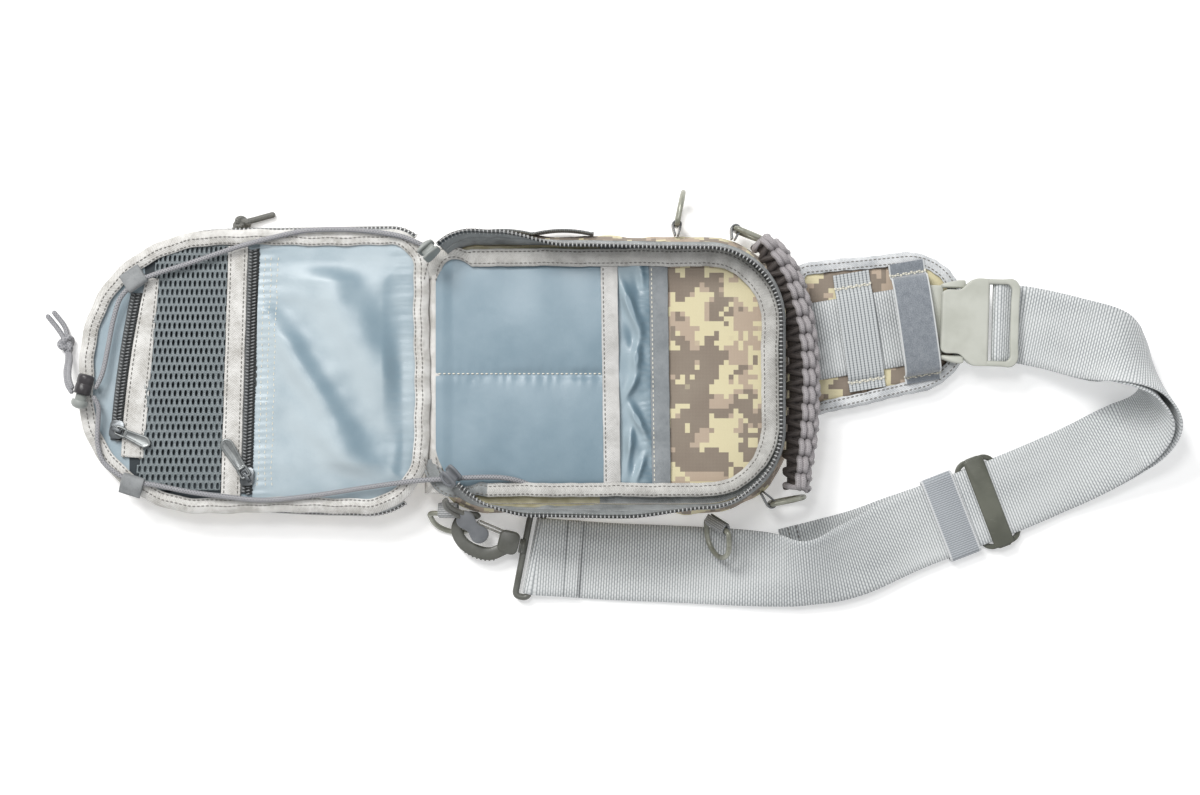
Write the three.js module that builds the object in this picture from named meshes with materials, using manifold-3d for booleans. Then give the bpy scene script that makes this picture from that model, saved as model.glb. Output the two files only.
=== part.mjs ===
// A small sling bag in camouflage cloth, unzipped and opened out on its back, with its strap curled beside it.
// Millimetres, +Z up. The back pad's resting face is centred on the origin, +X runs from the opened front unit
// to the strap, and +Y is the upper side of the photograph.
import * as THREE from "three";
import { mergeVertices } from "three/addons/utils/BufferGeometryUtils.js";
import Module from "manifold-3d";

const kernel = await Module();
kernel.setup();

// Sizes

const GAP = 0.35; // clear space between neighbouring pieces
const CLOTH = 1.5;
const LINING = 1;
const WEBBING_WIDE = 50;
const WEBBING_THICK = 1.6;
const CORNER_STEPS = 6;

// radii: lower left, lower right, upper right, upper left
const BODY = { left: -114, right: 112, bottom: -86, top: 86, radii: [36, 42, 42, 28] };
const BODY_DEEP = 31; // from the floor to the organizer panel
const BULGE = 3; // how far the camouflage side wall swells outwards
const ZIP_WIDE = 14;

const FRONT = { left: -341, right: -118, bottom: -87, top: 91, radii: [76, 40, 25, 85] };
const FRONT_DEEP = { end: 22, hinge: 32 };

const BUNGEE = 3.2;
const WIRE = 3.4;

// The body's half of the clamshell wall, along its run from the lower hinge corner round to the upper one:
// how high the cloth stands and how far it and the zip tape above it lean outwards, in degrees.
const CLAMSHELL = [
  { at: 0, high: 5, wall: 4, tape: -30 },
  { at: 0.1, high: 9, wall: 16, tape: 16 },
  { at: 0.2, high: 13, wall: 16, tape: 14 },
  { at: 0.3, high: 13, wall: 8, tape: -20 },
  { at: 0.36, high: 13, wall: 2, tape: -35 },
  { at: 0.5, high: 13, wall: 0, tape: -35 },
  { at: 0.72, high: 13, wall: 3, tape: -40 },
  { at: 0.86, high: 13, wall: 8, tape: -22 },
  { at: 0.94, high: 13, wall: 17, tape: 14 },
  { at: 1, high: 13, wall: 18, tape: 24 },
];

// The front unit's half hangs down outside its wall and stands out only beside the hinge.
const FRONT_ZIP_LEAN = [
  { at: 0, lean: 24 },
  { at: 0.2, lean: 18 },
  { at: 0.32, lean: 7 },
  { at: 0.8, lean: 7 },
  { at: 0.92, lean: 18 },
  { at: 1, lean: 22 },
];

// Soft folds that lift the lining of the front pocket.
const LINING_FOLDS = [
  { x: -150, y: 34, angle: 62, long: 46, wide: 9, high: 2.4 },
  { x: -176, y: -8, angle: 74, long: 60, wide: 11, high: 2.0 },
  { x: -146, y: -38, angle: 118, long: 40, wide: 9, high: 2.6 },
  { x: -200, y: 48, angle: 100, long: 44, wide: 10, high: 1.8 },
];

// The middle line between the strap's two layers, from its sewn end on the hook to the buckle bar. heading is the
// direction of its width in plan, rise that direction's tilt in degrees, and apart half the layers' distance.
const STRAP_ROUTE = [
  { x: -22, y: -119.6, z: 2.2, heading: 84, rise: 0, apart: 1.1 },
  { x: 4, y: -121.2, z: 2.4, heading: 86, rise: 0, apart: 1.1 },
  { x: 34, y: -122.4, z: 2.6, heading: 87, rise: 0, apart: 1.1 },
  { x: 70, y: -124, z: 4.2, heading: 87, rise: 1, apart: 1.1 },
  { x: 104, y: -125.6, z: 12.2, heading: 90, rise: 15, apart: 1.1 },
  { x: 126, y: -127, z: 20, heading: 97, rise: 31, apart: 1.1 },
  { x: 154, y: -119.4, z: 14, heading: 108, rise: 14, apart: 1.1 },
  { x: 186, y: -104.6, z: 7.4, heading: 112, rise: 2, apart: 1.4 },
  { x: 219, y: -91.4, z: 5.6, heading: 111, rise: 0, apart: 2.2 },
  { x: 243.4, y: -82.2, z: 5.5, heading: 110.5, rise: 0, apart: 2.6 },
  { x: 264, y: -74, z: 5.6, heading: 111, rise: 0, apart: 2.4 },
  { x: 282, y: -66.2, z: 6.4, heading: 111.4, rise: 0, apart: 1.1 },
  { x: 303, y: -56.6, z: 8, heading: 113, rise: -6, apart: 1.6 },
  { x: 328, y: -43, z: 12.5, heading: 117, rise: -22, apart: 2.2 },
  { x: 344.5, y: -33, z: 20, heading: 116, rise: -40, apart: 2.6 },
  { x: 351, y: -20.5, z: 29, heading: 115, rise: -50, apart: 2.8 },
  { x: 343, y: -1, z: 38.5, heading: 103, rise: -46, apart: 2.8 },
  { x: 324, y: 14.6, z: 43, heading: 97, rise: -26, apart: 2.6 },
  { x: 297, y: 23.4, z: 35, heading: 96, rise: -6, apart: 2 },
  { x: 276, y: 29.4, z: 24.5, heading: 92.4, rise: 0, apart: 1.1 },
  { x: 262, y: 32.2, z: 20.6, heading: 89, rise: 0, apart: 1.1 },
];

// The strap's spare end under the main band, from the triglide to its hem.
const TAIL_ROUTE = [
  { x: 220, y: -91.2, z: 3, heading: 111, rise: 0 },
  { x: 186, y: -103, z: 2.7, heading: 110, rise: 0 },
  { x: 160, y: -112.4, z: 1.6, heading: 108, rise: 0 },
  { x: 114, y: -124.4, z: 1.4, heading: 103, rise: 0 },
];

const BUNGEE_UPPER_ROUTE = [
  [-119.6, 82.4, 38],
  [-133, 87.6, 38.2],
  [-149, 90.6, 37],
  [-173, 92.4, 36],
  [-196, 91.6, 35],
  [-214, 88, 34.6],
  [-238.4, 81.6, 33.6],
  [-271, 70.8, 32],
  [-293, 63.8, 31.5],
  [-304, 59, 31.3],
  [-313.8, 49.6, 30.8],
  [-318.6, 36.2, 29.8],
  [-322.4, 17, 29.8],
  [-326, 0, 31],
  [-330.2, -9.4, 32.4],
];

const BUNGEE_LOWER_ROUTE = [
  [-331.4, -13.4, 32.4],
  [-328.4, -20, 31],
  [-328.6, -29, 29.8],
  [-329, -44, 29.6],
  [-325.4, -55.4, 29.8],
  [-316, -63.4, 30.9],
  [-306, -68, 31.5],
  [-291, -70.6, 31.9],
  [-271, -74.6, 32.4],
  [-248.6, -77.6, 33.4],
  [-222.4, -80, 34.4],
  [-190, -77, 35.8],
  [-157.4, -72, 37.4],
  [-127, -67.8, 38.8],
  [-107, -66.4, 39.4],
  [-79, -65.4, 38.6],
  [-64, -67.4, 38.9],
  [-52.4, -71.4, 39.6],
];

// Small tools

const v = (x, y, z) => new THREE.Vector3(x, y, z);
const rad = THREE.MathUtils.degToRad;
const { lerp, smoothstep } = THREE.MathUtils;
const count = (n) => Array.from({ length: n }, (_, i) => i);
const UP = v(0, 0, 1);

// A column of a table, read at s between the rows on either side of it.
function read(rows, name, s) {
  const next = rows.findIndex((row) => row.at >= s);
  if (next < 0) return rows.at(-1)[name];
  if (next === 0) return rows[0][name];
  const [a, b] = [rows[next - 1], rows[next]];
  return lerp(a[name], b[name], smoothstep(s, a.at, b.at));
}

// Indexed triangles as a geometry, turned to face outwards.
function closedGeometry(points, index) {
  let volume = 0;
  for (let i = 0; i < index.length; i += 3) {
    const [a, b, c] = [points[index[i]], points[index[i + 1]], points[index[i + 2]]];
    volume += a.dot(b.clone().cross(c));
  }
  const geometry = new THREE.BufferGeometry().setFromPoints(points);
  geometry.setIndex(volume < 0 ? index.toReversed() : index);
  return geometry;
}

// Triangles that fill a flat contour, in the contour's own direction.
function fill(contour) {
  const flat = contour.map(([x, y]) => new THREE.Vector2(x, y));
  const turn = THREE.ShapeUtils.area(flat) > 0;
  return THREE.ShapeUtils.triangulateShape(flat, []).map(([i, j, k]) => {
    const left = flat[j].clone().sub(flat[i]).cross(flat[k].clone().sub(flat[i])) > 0;
    return left === turn ? [i, j, k] : [i, k, j];
  });
}

// A skin over rings of equal size. A loop joins the last ring to the first; otherwise both ends are filled. Each
// four-sided cell is split along its shorter diagonal, so the two faces of a twisted band stay parallel.
function skin(rings, loop, contours) {
  const sides = rings[0].length;
  const points = rings.flat();
  const index = [];
  for (const i of count(loop ? rings.length : rings.length - 1)) {
    const a = i * sides;
    const b = ((i + 1) % rings.length) * sides;
    for (const k of count(sides)) {
      const l = (k + 1) % sides;
      const [near, ahead, across, beside] = [a + k, b + k, b + l, a + l];
      const bias = points[near].distanceTo(points[across]) - points[ahead].distanceTo(points[beside]);
      if (bias < 1e-6) index.push(near, ahead, across, near, across, beside);
      else index.push(near, ahead, beside, ahead, across, beside);
    }
  }
  if (!loop) {
    const last = (rings.length - 1) * sides;
    for (const [i, j, k] of fill(contours[0])) index.push(i, j, k);
    for (const [i, j, k] of fill(contours.at(-1))) index.push(last + i, last + k, last + j);
  }
  return closedGeometry(points, index);
}

// A section carried along frames. The section lists [out, up] corners, or is a function of the frame.
function sweep(frames, section, loop = false) {
  const contours = frames.map((frame, i) => (typeof section === "function" ? section(frame, i) : section));
  const rings = frames.map(({ at, out, up }, i) =>
    contours[i].map(([a, b]) => at.clone().addScaledVector(out, a).addScaledVector(up, b)),
  );
  return skin(rings, loop, contours);
}

// The points of a rounded box, anticlockwise from its lower left corner, each with its outward direction.
function roundedBox({ left, right, bottom, top, radii }, steps = CORNER_STEPS) {
  const corners = [
    { x: left + radii[0], y: bottom + radii[0], turn: 180 },
    { x: right - radii[1], y: bottom + radii[1], turn: 270 },
    { x: right - radii[2], y: top - radii[2], turn: 0 },
    { x: left + radii[3], y: top - radii[3], turn: 90 },
  ];
  return corners.flatMap(({ x, y, turn }, corner) =>
    count(steps + 1).map((k) => {
      const angle = rad(turn + (90 * k) / steps);
      const out = v(Math.cos(angle), Math.sin(angle), 0);
      return { at: v(x, y, 0).addScaledVector(out, radii[corner]), out, up: UP };
    }),
  );
}

// The same run of frames with its long sides split so that no step is longer than most.
function split(frames, most) {
  return frames.flatMap((frame, i) => {
    if (i === 0) return [frame];
    const before = frames[i - 1];
    const parts = Math.ceil(before.at.distanceTo(frame.at) / most);
    return count(parts).map((k) => ({
      at: before.at.clone().lerp(frame.at, (k + 1) / parts),
      out: before.out.clone().lerp(frame.out, (k + 1) / parts).normalize(),
      up: UP,
    }));
  });
}

// An outline's corners, set in by a distance.
const inset = (outline, by) => outline.map(({ at, out }) => at.clone().addScaledVector(out, -by));

// A cushion of stacked copies of an outline, from rows of inset and height.
function stack(outline, rows) {
  const rings = rows.map((row) => inset(outline, row.inset).map((p) => p.setZ(row.z)));
  return skin(rings, false, rings.map((ring) => ring.map((p) => [p.x, p.y])));
}

// A sheet of even thickness. under(s, t) is its lower face for s and t from 0 to 1.
function sheet(under, thick, across, along) {
  const rows = count(across + 1).map((i) => count(along + 1).map((j) => under(i / across, j / along)));
  const lower = rows.flat();
  const upper = lower.map((p) => p.clone().setZ(p.z + thick));
  const top = lower.length;
  const id = (i, j) => i * (along + 1) + j;
  const index = [];
  const quad = (a, b, c, d) => index.push(a, b, c, a, c, d);
  for (const i of count(across)) {
    for (const j of count(along)) {
      quad(id(i, j), id(i, j + 1), id(i + 1, j + 1), id(i + 1, j));
      quad(top + id(i, j), top + id(i + 1, j), top + id(i + 1, j + 1), top + id(i, j + 1));
    }
    quad(id(i, 0), id(i + 1, 0), top + id(i + 1, 0), top + id(i, 0));
    quad(id(i + 1, along), id(i, along), top + id(i, along), top + id(i + 1, along));
  }
  for (const j of count(along)) {
    quad(id(0, j + 1), id(0, j), top + id(0, j), top + id(0, j + 1));
    quad(id(across, j), id(across, j + 1), top + id(across, j + 1), top + id(across, j));
  }
  return closedGeometry([...lower, ...upper], index);
}

// A flat plate from corners in plan, between two heights.
function plate(corners, low, high, holes = []) {
  const shape = new THREE.Shape(corners.map(([x, y]) => new THREE.Vector2(x, y)));
  shape.holes = holes.map((hole) => new THREE.Path(hole.map(([x, y]) => new THREE.Vector2(x, y))));
  const geometry = new THREE.ExtrudeGeometry(shape, { depth: high - low, bevelEnabled: false });
  return geometry.translate(0, 0, low);
}

const corners = (box, steps = 3) => roundedBox(box, steps).map(({ at }) => [at.x, at.y]);
const even = (r) => [r, r, r, r];
const block = (wide, deep, high) => new THREE.BoxGeometry(wide, deep, high);

// A rounded bar of a number of sides along the points of a route.
function cord(route, diameter, steps, sides = 8) {
  const curve = new THREE.CatmullRomCurve3(route.map(([x, y, z]) => v(x, y, z)), false, "centripetal");
  const round = count(sides).map((k) => {
    const angle = (2 * Math.PI * k) / sides;
    return new THREE.Vector2(Math.cos(angle), Math.sin(angle)).multiplyScalar(diameter / 2);
  });
  const settings = { steps, extrudePath: curve, bevelEnabled: false };
  return new THREE.ExtrudeGeometry(new THREE.Shape(round), settings);
}

function toSolid(geometry) {
  const loose = geometry.index ? geometry.toNonIndexed() : geometry;
  const bare = new THREE.BufferGeometry().setAttribute("position", loose.getAttribute("position"));
  const merged = mergeVertices(bare, 1e-4);
  const triVerts = new Uint32Array(merged.index.array);
  const mesh = new kernel.Mesh({ numProp: 3, vertProperties: merged.attributes.position.array, triVerts });
  return new kernel.Manifold(mesh);
}

function toGeometry(solid) {
  const mesh = solid.getMesh();
  const geometry = new THREE.BufferGeometry();
  geometry.setAttribute("position", new THREE.BufferAttribute(new Float32Array(mesh.vertProperties), 3));
  geometry.setIndex(Array.from(mesh.triVerts));
  return geometry;
}

const join = (...parts) => toGeometry(parts.map(toSolid).reduce((whole, part) => whole.add(part)));
const cut = (body, ...tools) =>
  toGeometry(tools.map(toSolid).reduce((whole, tool) => whole.subtract(tool), toSolid(body)));

function cloth(color) {
  return new THREE.MeshStandardMaterial({ color, roughness: 0.9, metalness: 0 });
}

function hard(color, metalness = 0) {
  return new THREE.MeshStandardMaterial({ color, roughness: 0.5, metalness });
}

const COLOR = {
  camouflage: "#b7a785",
  coating: "#bfba9c",
  lining: "#8ea4b2",
  binding: "#d2d0cb",
  hem: "#8b9092",
  mesh: "#747e82",
  zip: "#55585a",
  webbing: "#c0c4c7",
  loop: "#7f858c",
  cord: "#a9a5ab",
  braid: "#8f8b92",
  plastic: "#b5b8ad",
  olive: "#75776a",
  charcoal: "#55554f",
  steel: "#b9b6ac",
};

const bag = new THREE.Group();

function piece(group, name, geometry, material) {
  const mesh = new THREE.Mesh(geometry, material);
  mesh.name = name;
  group.add(mesh);
}

// A group whose x and y axes point along two directions.
function place(at, xAxis, yAxis) {
  const group = new THREE.Group();
  const x = xAxis.clone().normalize();
  const y = yAxis.clone().addScaledVector(x, -yAxis.dot(x)).normalize();
  group.setRotationFromMatrix(new THREE.Matrix4().makeBasis(x, y, x.clone().cross(y)));
  group.position.copy(at);
  bag.add(group);
  return group;
}

// Main body

const bodyOutline = roundedBox(BODY);

piece(
  bag,
  "back_pad",
  stack(bodyOutline, [
    { inset: 6, z: 0 },
    { inset: 2.9, z: 2.5 },
    { inset: 2.9, z: 7 },
    { inset: 8, z: 9 },
  ]),
  cloth(COLOR.camouflage),
);

const REAR_WALL = [
  [-1, 1.5],
  [BULGE, BODY_DEEP / 2],
  [-2, BODY_DEEP],
  [-2 - CLOTH, BODY_DEEP],
  [BULGE - CLOTH, BODY_DEEP / 2],
  [-1 - CLOTH, 1.5],
];
piece(bag, "rear_gusset", sweep(bodyOutline, REAR_WALL, true), cloth(COLOR.camouflage));

const organizerCorners = inset(bodyOutline, 4).map((p) => [p.x, p.y]);
piece(bag, "organizer_panel", plate(organizerCorners, BODY_DEEP - 1.5, BODY_DEEP), cloth(COLOR.camouflage));

const POCKET_HALF = 73;
const POCKET_SLANT = -0.015; // the hems lean a little, to +X on the lower side
const POCKET_FOOT = BODY_DEEP + GAP;
const pocketY = (t) => lerp(-POCKET_HALF, POCKET_HALF, t);

// Two soft swellings either side of the stitched middle line, flat at the edges.
const slipLift = (t) => 3.4 * Math.abs(Math.sin(2 * Math.PI * t));

function slipPocketUnder(s, t) {
  const y = pocketY(t);
  const left = -100.4 + 3 * smoothstep(-y, 60, POCKET_HALF);
  return v(lerp(left, -6.8 + POCKET_SLANT * y, s), y, POCKET_FOOT + slipLift(t) * smoothstep(s, 0, 0.7));
}

// A band across the tray whose lower face starts at a height plus a lift along its length.
function bandAcross(left, right, low, lift) {
  return (s, t) => v(lerp(left, right, s) + POCKET_SLANT * pocketY(t), pocketY(t), low + lift(t));
}

const noLift = () => 0;
const wrinkle = (t) => 0.35 + 0.35 * Math.sin(9 * Math.PI * t);
const slipHem = sheet(bandAcross(-6.4, 4.4, POCKET_FOOT, slipLift), 1.6, 1, 16);
const upperHem = sheet(bandAcross(24.4, 36.4, POCKET_FOOT, noLift), 1.8, 1, 1);
piece(bag, "slip_pocket", sheet(slipPocketUnder, LINING, 4, 16), cloth(COLOR.lining));
piece(bag, "slip_pocket_hem", slipHem, cloth(COLOR.binding));
piece(bag, "upper_pocket", sheet(bandAcross(4.8, 24, POCKET_FOOT, wrinkle), LINING, 1, 18), cloth(COLOR.lining));
piece(bag, "upper_pocket_hem", upperHem, cloth(COLOR.hem));

// The three open sides of the tray: from the lower hinge corner round the top end to the upper hinge corner.
const HINGE_OPEN = 3; // steps of the hinge corners left open, for the bungee and the slider
const traySides = split(bodyOutline.slice(HINGE_OPEN, -HINGE_OPEN), 30);

const BINDING_SECTION = [
  [-17, 33.9],
  [-6, 34.8],
  [-6, 36.6],
  [-11, 37],
  [-17, 35.2],
];
piece(bag, "body_binding", sweep(traySides, BINDING_SECTION), cloth(COLOR.binding));

// Frames that lean about the rim: out and up turned by an angle in degrees.
function leaning(frame, at, lean) {
  const up = UP.clone().multiplyScalar(Math.cos(rad(lean))).addScaledVector(frame.out, Math.sin(rad(lean)));
  const out = frame.out.clone().multiplyScalar(Math.cos(rad(lean))).addScaledVector(UP, -Math.sin(rad(lean)));
  return { at, out, up };
}

const along = (i) => i / (traySides.length - 1);
const gussetFrames = traySides.map((frame, i) => {
  const foot = frame.at.clone().addScaledVector(frame.out, -2.8).setZ(BODY_DEEP + 0.6);
  return leaning(frame, foot, read(CLAMSHELL, "wall", along(i)));
});
const zipFrames = gussetFrames.map(({ at, up }, i) => {
  const foot = at.clone().addScaledVector(up, read(CLAMSHELL, "high", along(i)) + 0.6);
  return leaning(traySides[i], foot, read(CLAMSHELL, "tape", along(i)));
});

const wallSection = (thick, high) => [
  [-thick / 2, 0],
  [thick / 2, 0],
  [thick / 2, high],
  [-thick / 2, high],
];

// Half a zip on edge: a tape with the coil along its far side.
const zipSection = (wide) => [
  [-0.5, 0],
  [0.5, 0],
  [0.5, wide - 5.5],
  [1.7, wide - 5],
  [1.7, wide],
  [-1.7, wide],
  [-1.7, wide - 5],
  [-0.5, wide - 5.5],
];

// The cloth that joins the two halves, a folded band along the hinge.
const HINGE_BAND = [
  [-119.4, 24],
  [-117.2, 28.4],
  [-114.6, 31.8],
  [-101, 31.8],
  [-101, 32.8],
  [-114.9, 32.8],
  [-118.2, 28.8],
  [-120.2, 24.2],
];
const hingeEnds = [-76, 80].map((y) => ({ at: v(0, y, 0), out: v(1, 0, 0), up: UP }));
const clamshellWall = sweep(gussetFrames, (_, i) => wallSection(1.4, read(CLAMSHELL, "high", along(i))));
piece(bag, "main_gusset", join(clamshellWall, sweep(hingeEnds, HINGE_BAND)), cloth(COLOR.coating));
piece(bag, "body_zip", sweep(zipFrames, zipSection(ZIP_WIDE)), cloth(COLOR.zip));

// Front unit

const frontOutline = roundedBox(FRONT);
const frontTop = (x) => lerp(FRONT_DEEP.end, FRONT_DEEP.hinge, (x - FRONT.left) / (FRONT.right - FRONT.left));

piece(
  bag,
  "front_face",
  stack(frontOutline, [
    { inset: 8.4, z: 0 },
    { inset: 6.9, z: 2.2 },
  ]),
  cloth(COLOR.camouflage),
);

function frontWallSection({ at }) {
  const top = frontTop(at.x);
  return [
    [-5, 0.8],
    [-2.4, top / 2],
    [-3.4, top],
    [-3.4 - CLOTH, top],
    [-2.4 - CLOTH, top / 2],
    [-5 - CLOTH, 0.8],
  ];
}
piece(bag, "front_gusset", sweep(frontOutline, frontWallSection, true), cloth(COLOR.camouflage));

// The lower or upper edge of the front unit at x, set in by a distance.
function frontEdge(x, side, by) {
  const [lowerLeft, lowerRight, upperRight, upperLeft] = FRONT.radii;
  const [leftRadius, rightRadius] = side < 0 ? [lowerLeft, lowerRight] : [upperLeft, upperRight];
  const leftReach = Math.max(0, FRONT.left + leftRadius - x);
  const rightReach = Math.max(0, x - (FRONT.right - rightRadius));
  const [radius, reach] = leftReach > 0 ? [leftRadius, leftReach] : [rightRadius, rightReach];
  const drop = radius - Math.sqrt(Math.max(0, (radius - by) ** 2 - reach ** 2));
  return side < 0 ? FRONT.bottom + drop : FRONT.top - drop;
}

function frontPanelUnder(s, t) {
  const eased = 0.5 - 0.5 * Math.cos(Math.PI * s);
  const x = lerp(FRONT.left + 6, FRONT.right - 6, eased);
  const y = lerp(frontEdge(x, -1, 6), frontEdge(x, 1, 6), t);
  return v(x, y, frontTop(x) - 1.4);
}
const frontPanel = sheet((s, t) => frontPanelUnder(0.03 + 0.94 * s, t), 1.4, 18, 1);
piece(bag, "front_panel", frontPanel, cloth(COLOR.lining));

// Where the zips and hems of the front unit run, as x for a given y.
const liningZipX = (y) => -231.4 + 0.031 * y;
const meshEdgeX = (y) => -296 + 0.09 * y;
const meshZipX = (y) => -313.5 + 0.135 * y + 0.0008 * y * y;

const liningRight = FRONT.right - 7;

function liningLift(x, y) {
  const left = liningZipX(y) + 4.4;
  const s = (x - left) / (liningRight - left);
  const t = (y - FRONT.bottom) / (FRONT.top - FRONT.bottom);
  const belly = 3 * Math.sin(Math.PI * s) ** 0.6 * Math.sin(Math.PI * t) ** 0.6;
  const folds = LINING_FOLDS.reduce((sum, fold) => {
    const along = (x - fold.x) * Math.cos(rad(fold.angle)) + (y - fold.y) * Math.sin(rad(fold.angle));
    const aside = (y - fold.y) * Math.cos(rad(fold.angle)) - (x - fold.x) * Math.sin(rad(fold.angle));
    return sum + fold.high * Math.exp(-((along / fold.long) ** 2) * 4 - (aside / fold.wide) ** 2);
  }, 0);
  const edge = Math.min(1, (FRONT.top - 18 - y) / 14, (y - FRONT.bottom - 18) / 14, (liningRight - 8 - x) / 14);
  return belly * 0.3 + (0.7 * belly + folds) * smoothstep(edge, 0, 1);
}

function liningUnder(s, t) {
  const x0 = lerp(-227, liningRight, s);
  const y = lerp(frontEdge(x0, -1, 7), frontEdge(x0, 1, 7), t);
  const x = lerp(liningZipX(y) + 4.4, liningRight, s);
  return v(x, y, frontTop(x) + GAP + 0.7 * liningLift(x, y));
}
piece(bag, "lining_pocket", sheet(liningUnder, LINING, 11, 10), cloth(COLOR.lining));

// A panel of the front unit between two edges given as x for y.
function frontBand(leftX, rightX, low, high, lift = noLift) {
  return (s, t) => {
    const y = lerp(low, high, t);
    const x = lerp(leftX(y), rightX(y), s);
    return v(x, y, frontTop(x) + GAP + lift(t) * Math.sin(Math.PI * s));
  };
}

const beside = (edge, by) => (y) => edge(y) + by;
const meshBelly = (t) => 2.4 * Math.sin(Math.PI * t);
const meshUnder = frontBand(beside(meshEdgeX, 0.2), beside(liningZipX, -17), -68, 76, meshBelly);
const meshHemInner = frontBand(beside(liningZipX, -16.6), beside(liningZipX, -4.2), -78, 82);
const meshHemOuter = frontBand(beside(meshZipX, 4), beside(meshEdgeX, -0.2), -53, 62);
piece(bag, "mesh_pocket", sheet(meshUnder, LINING, 6, 8), cloth(COLOR.mesh));
piece(bag, "mesh_hem_inner", sheet(meshHemInner, 1.4, 1, 4), cloth(COLOR.binding));
piece(bag, "mesh_hem_outer", sheet(meshHemOuter, 1.4, 1, 6), cloth(COLOR.binding));

function frontBindingSection({ at }) {
  const top = frontTop(at.x);
  return [
    [-10, top + 1.9],
    [-6.2, top + 1.9],
    [-5.4, top + 0.6],
    [1.8, top - 0.5],
    [2, top + 1.6],
    [-3, top + 4.3],
    [-10, top + 3.4],
  ];
}
piece(bag, "front_binding", sweep(frontOutline, frontBindingSection, true), cloth(COLOR.binding));

const frontZipRun = split(
  [...frontOutline.slice(14), ...frontOutline.slice(0, 14)].filter(({ out }) => out.x < 0.6).reverse(),
  34,
);
const frontZipFrames = frontZipRun.map((frame, i) => {
  const foot = frame.at.clone().addScaledVector(frame.out, -0.9).setZ(frontTop(frame.at.x) - 1.5);
  return leaning(frame, foot, 180 - read(FRONT_ZIP_LEAN, "lean", 1 - i / (frontZipRun.length - 1)));
});
piece(bag, "front_zip", sweep(frontZipFrames, zipSection(13)), cloth(COLOR.zip));

// A closed zip lying flat: a tape with the coil along its middle, at x for y.
function flatZip(edge, low, high, steps) {
  const frames = count(steps + 1).map((k) => {
    const y = lerp(low, high, k / steps);
    return { at: v(edge(y), y, frontTop(edge(y)) + GAP), out: v(1, 0, 0), up: UP };
  });
  return sweep(frames, [
    [-3.6, 0],
    [3.6, 0],
    [3.6, 0.9],
    [2.8, 2.4],
    [-2.8, 2.4],
    [-3.6, 0.9],
  ]);
}
piece(bag, "lining_zip", flatZip(liningZipX, -76, 80, 2), cloth(COLOR.zip));
piece(bag, "mesh_zip", flatZip(meshZipX, -42, 52, 5), cloth(COLOR.zip));

// A zip slider with its bridge, and the pull whose end bar turns under that bridge. The group's x axis is the
// way the pull points and the plate is turned to lie along the zip.
const SLIDER = { long: 12, wide: 9, plate: 1.7, bridgeWide: 2.2 };
const PULL = { bar: 0.8, thick: 1.5, loop: 6.2 };
const PIN_HIGH = SLIDER.plate + 1.4;

function sliderGeometry(turn) {
  const box = { left: -SLIDER.long / 2, right: SLIDER.long / 2, bottom: -SLIDER.wide / 2, top: SLIDER.wide / 2 };
  const base = plate(corners({ ...box, radii: even(3) }), 0, SLIDER.plate).rotateZ(turn);
  const arch = [
    [-4, SLIDER.plate - 0.4],
    [4, SLIDER.plate - 0.4],
    [3.4, SLIDER.plate + 2.8],
    [2.2, SLIDER.plate + 3.8],
    [-2.2, SLIDER.plate + 3.8],
    [-3.4, SLIDER.plate + 2.8],
  ];
  const hole = [
    [-2.2, SLIDER.plate + 0.3],
    [2.2, SLIDER.plate + 0.3],
    [1.9, SLIDER.plate + 2.6],
    [-1.9, SLIDER.plate + 2.6],
  ];
  const half = SLIDER.bridgeWide / 2;
  const bridge = plate(arch, -half, half, [hole]).rotateX(Math.PI / 2);
  return join(base, bridge);
}

function pullGeometry(long, wide) {
  const half = wide / 2;
  const outlineCorners = [
    [-PULL.bar, -half + 1],
    [PULL.loop, -half + 0.4],
    [long - 2, -half],
    [long, -half + 2],
    [long, half - 2],
    [long - 2, half],
    [PULL.loop, half - 0.4],
    [-PULL.bar, half - 1],
  ];
  const window = [
    [PULL.bar, -1.9],
    [PULL.loop, -1.9],
    [PULL.loop, 1.9],
    [PULL.bar, 1.9],
  ];
  return plate(outlineCorners, -PULL.thick / 2, PULL.thick / 2, [window]).translate(0, 0, PIN_HIGH);
}

function zipPull(name, at, pointing, zipAngle, long, wide) {
  const direction = v(Math.cos(rad(pointing)), Math.sin(rad(pointing)), 0);
  const group = place(at, direction, UP.clone().cross(direction));
  piece(group, `${name}_slider`, sliderGeometry(rad(zipAngle - pointing)), hard(COLOR.charcoal));
  piece(group, `${name}_pull`, pullGeometry(long, wide), hard(COLOR.steel, 0.6));
}

const COIL_TOP = GAP + 2.4 + GAP;
const liningSliderY = -65;
const meshSliderY = -35;
const liningSliderAt = v(liningZipX(liningSliderY), liningSliderY, frontTop(-234) + COIL_TOP);
const meshSliderAt = v(meshZipX(meshSliderY), meshSliderY, frontTop(-317) + COIL_TOP + 0.1);
zipPull("lining", liningSliderAt, 122, 88, 28, 9);
zipPull("mesh", meshSliderAt, -24, 80, 24, 8);

// Webbing tabs folded over the bungee at two corners of the front unit.
function cordTab(name, at, direction) {
  const group = place(at, direction, UP.clone().cross(direction));
  const outer = [
    [-9.5, -3.1],
    [2.4, -3.1],
    [3.9, -1.6],
    [3.9, 1.6],
    [2.4, 3.3],
    [-2.4, 3.3],
    [-9.5, -1.6],
  ];
  const hole = count(8).map((k) => [2.5 * Math.cos((k * Math.PI) / 4), 2.5 * Math.sin((k * Math.PI) / 4)]);
  piece(group, name, plate(outer, -5, 5, [hole]).rotateX(Math.PI / 2), cloth(COLOR.hem));
}
cordTab("cord_tab_upper", v(-304, 58.9, 31.3), v(0.56, -0.83, 0));
cordTab("cord_tab_lower", v(-306, -68, 31.5), v(0.3, 0.95, 0));

// Bungee, cord lock and loose cords

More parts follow.
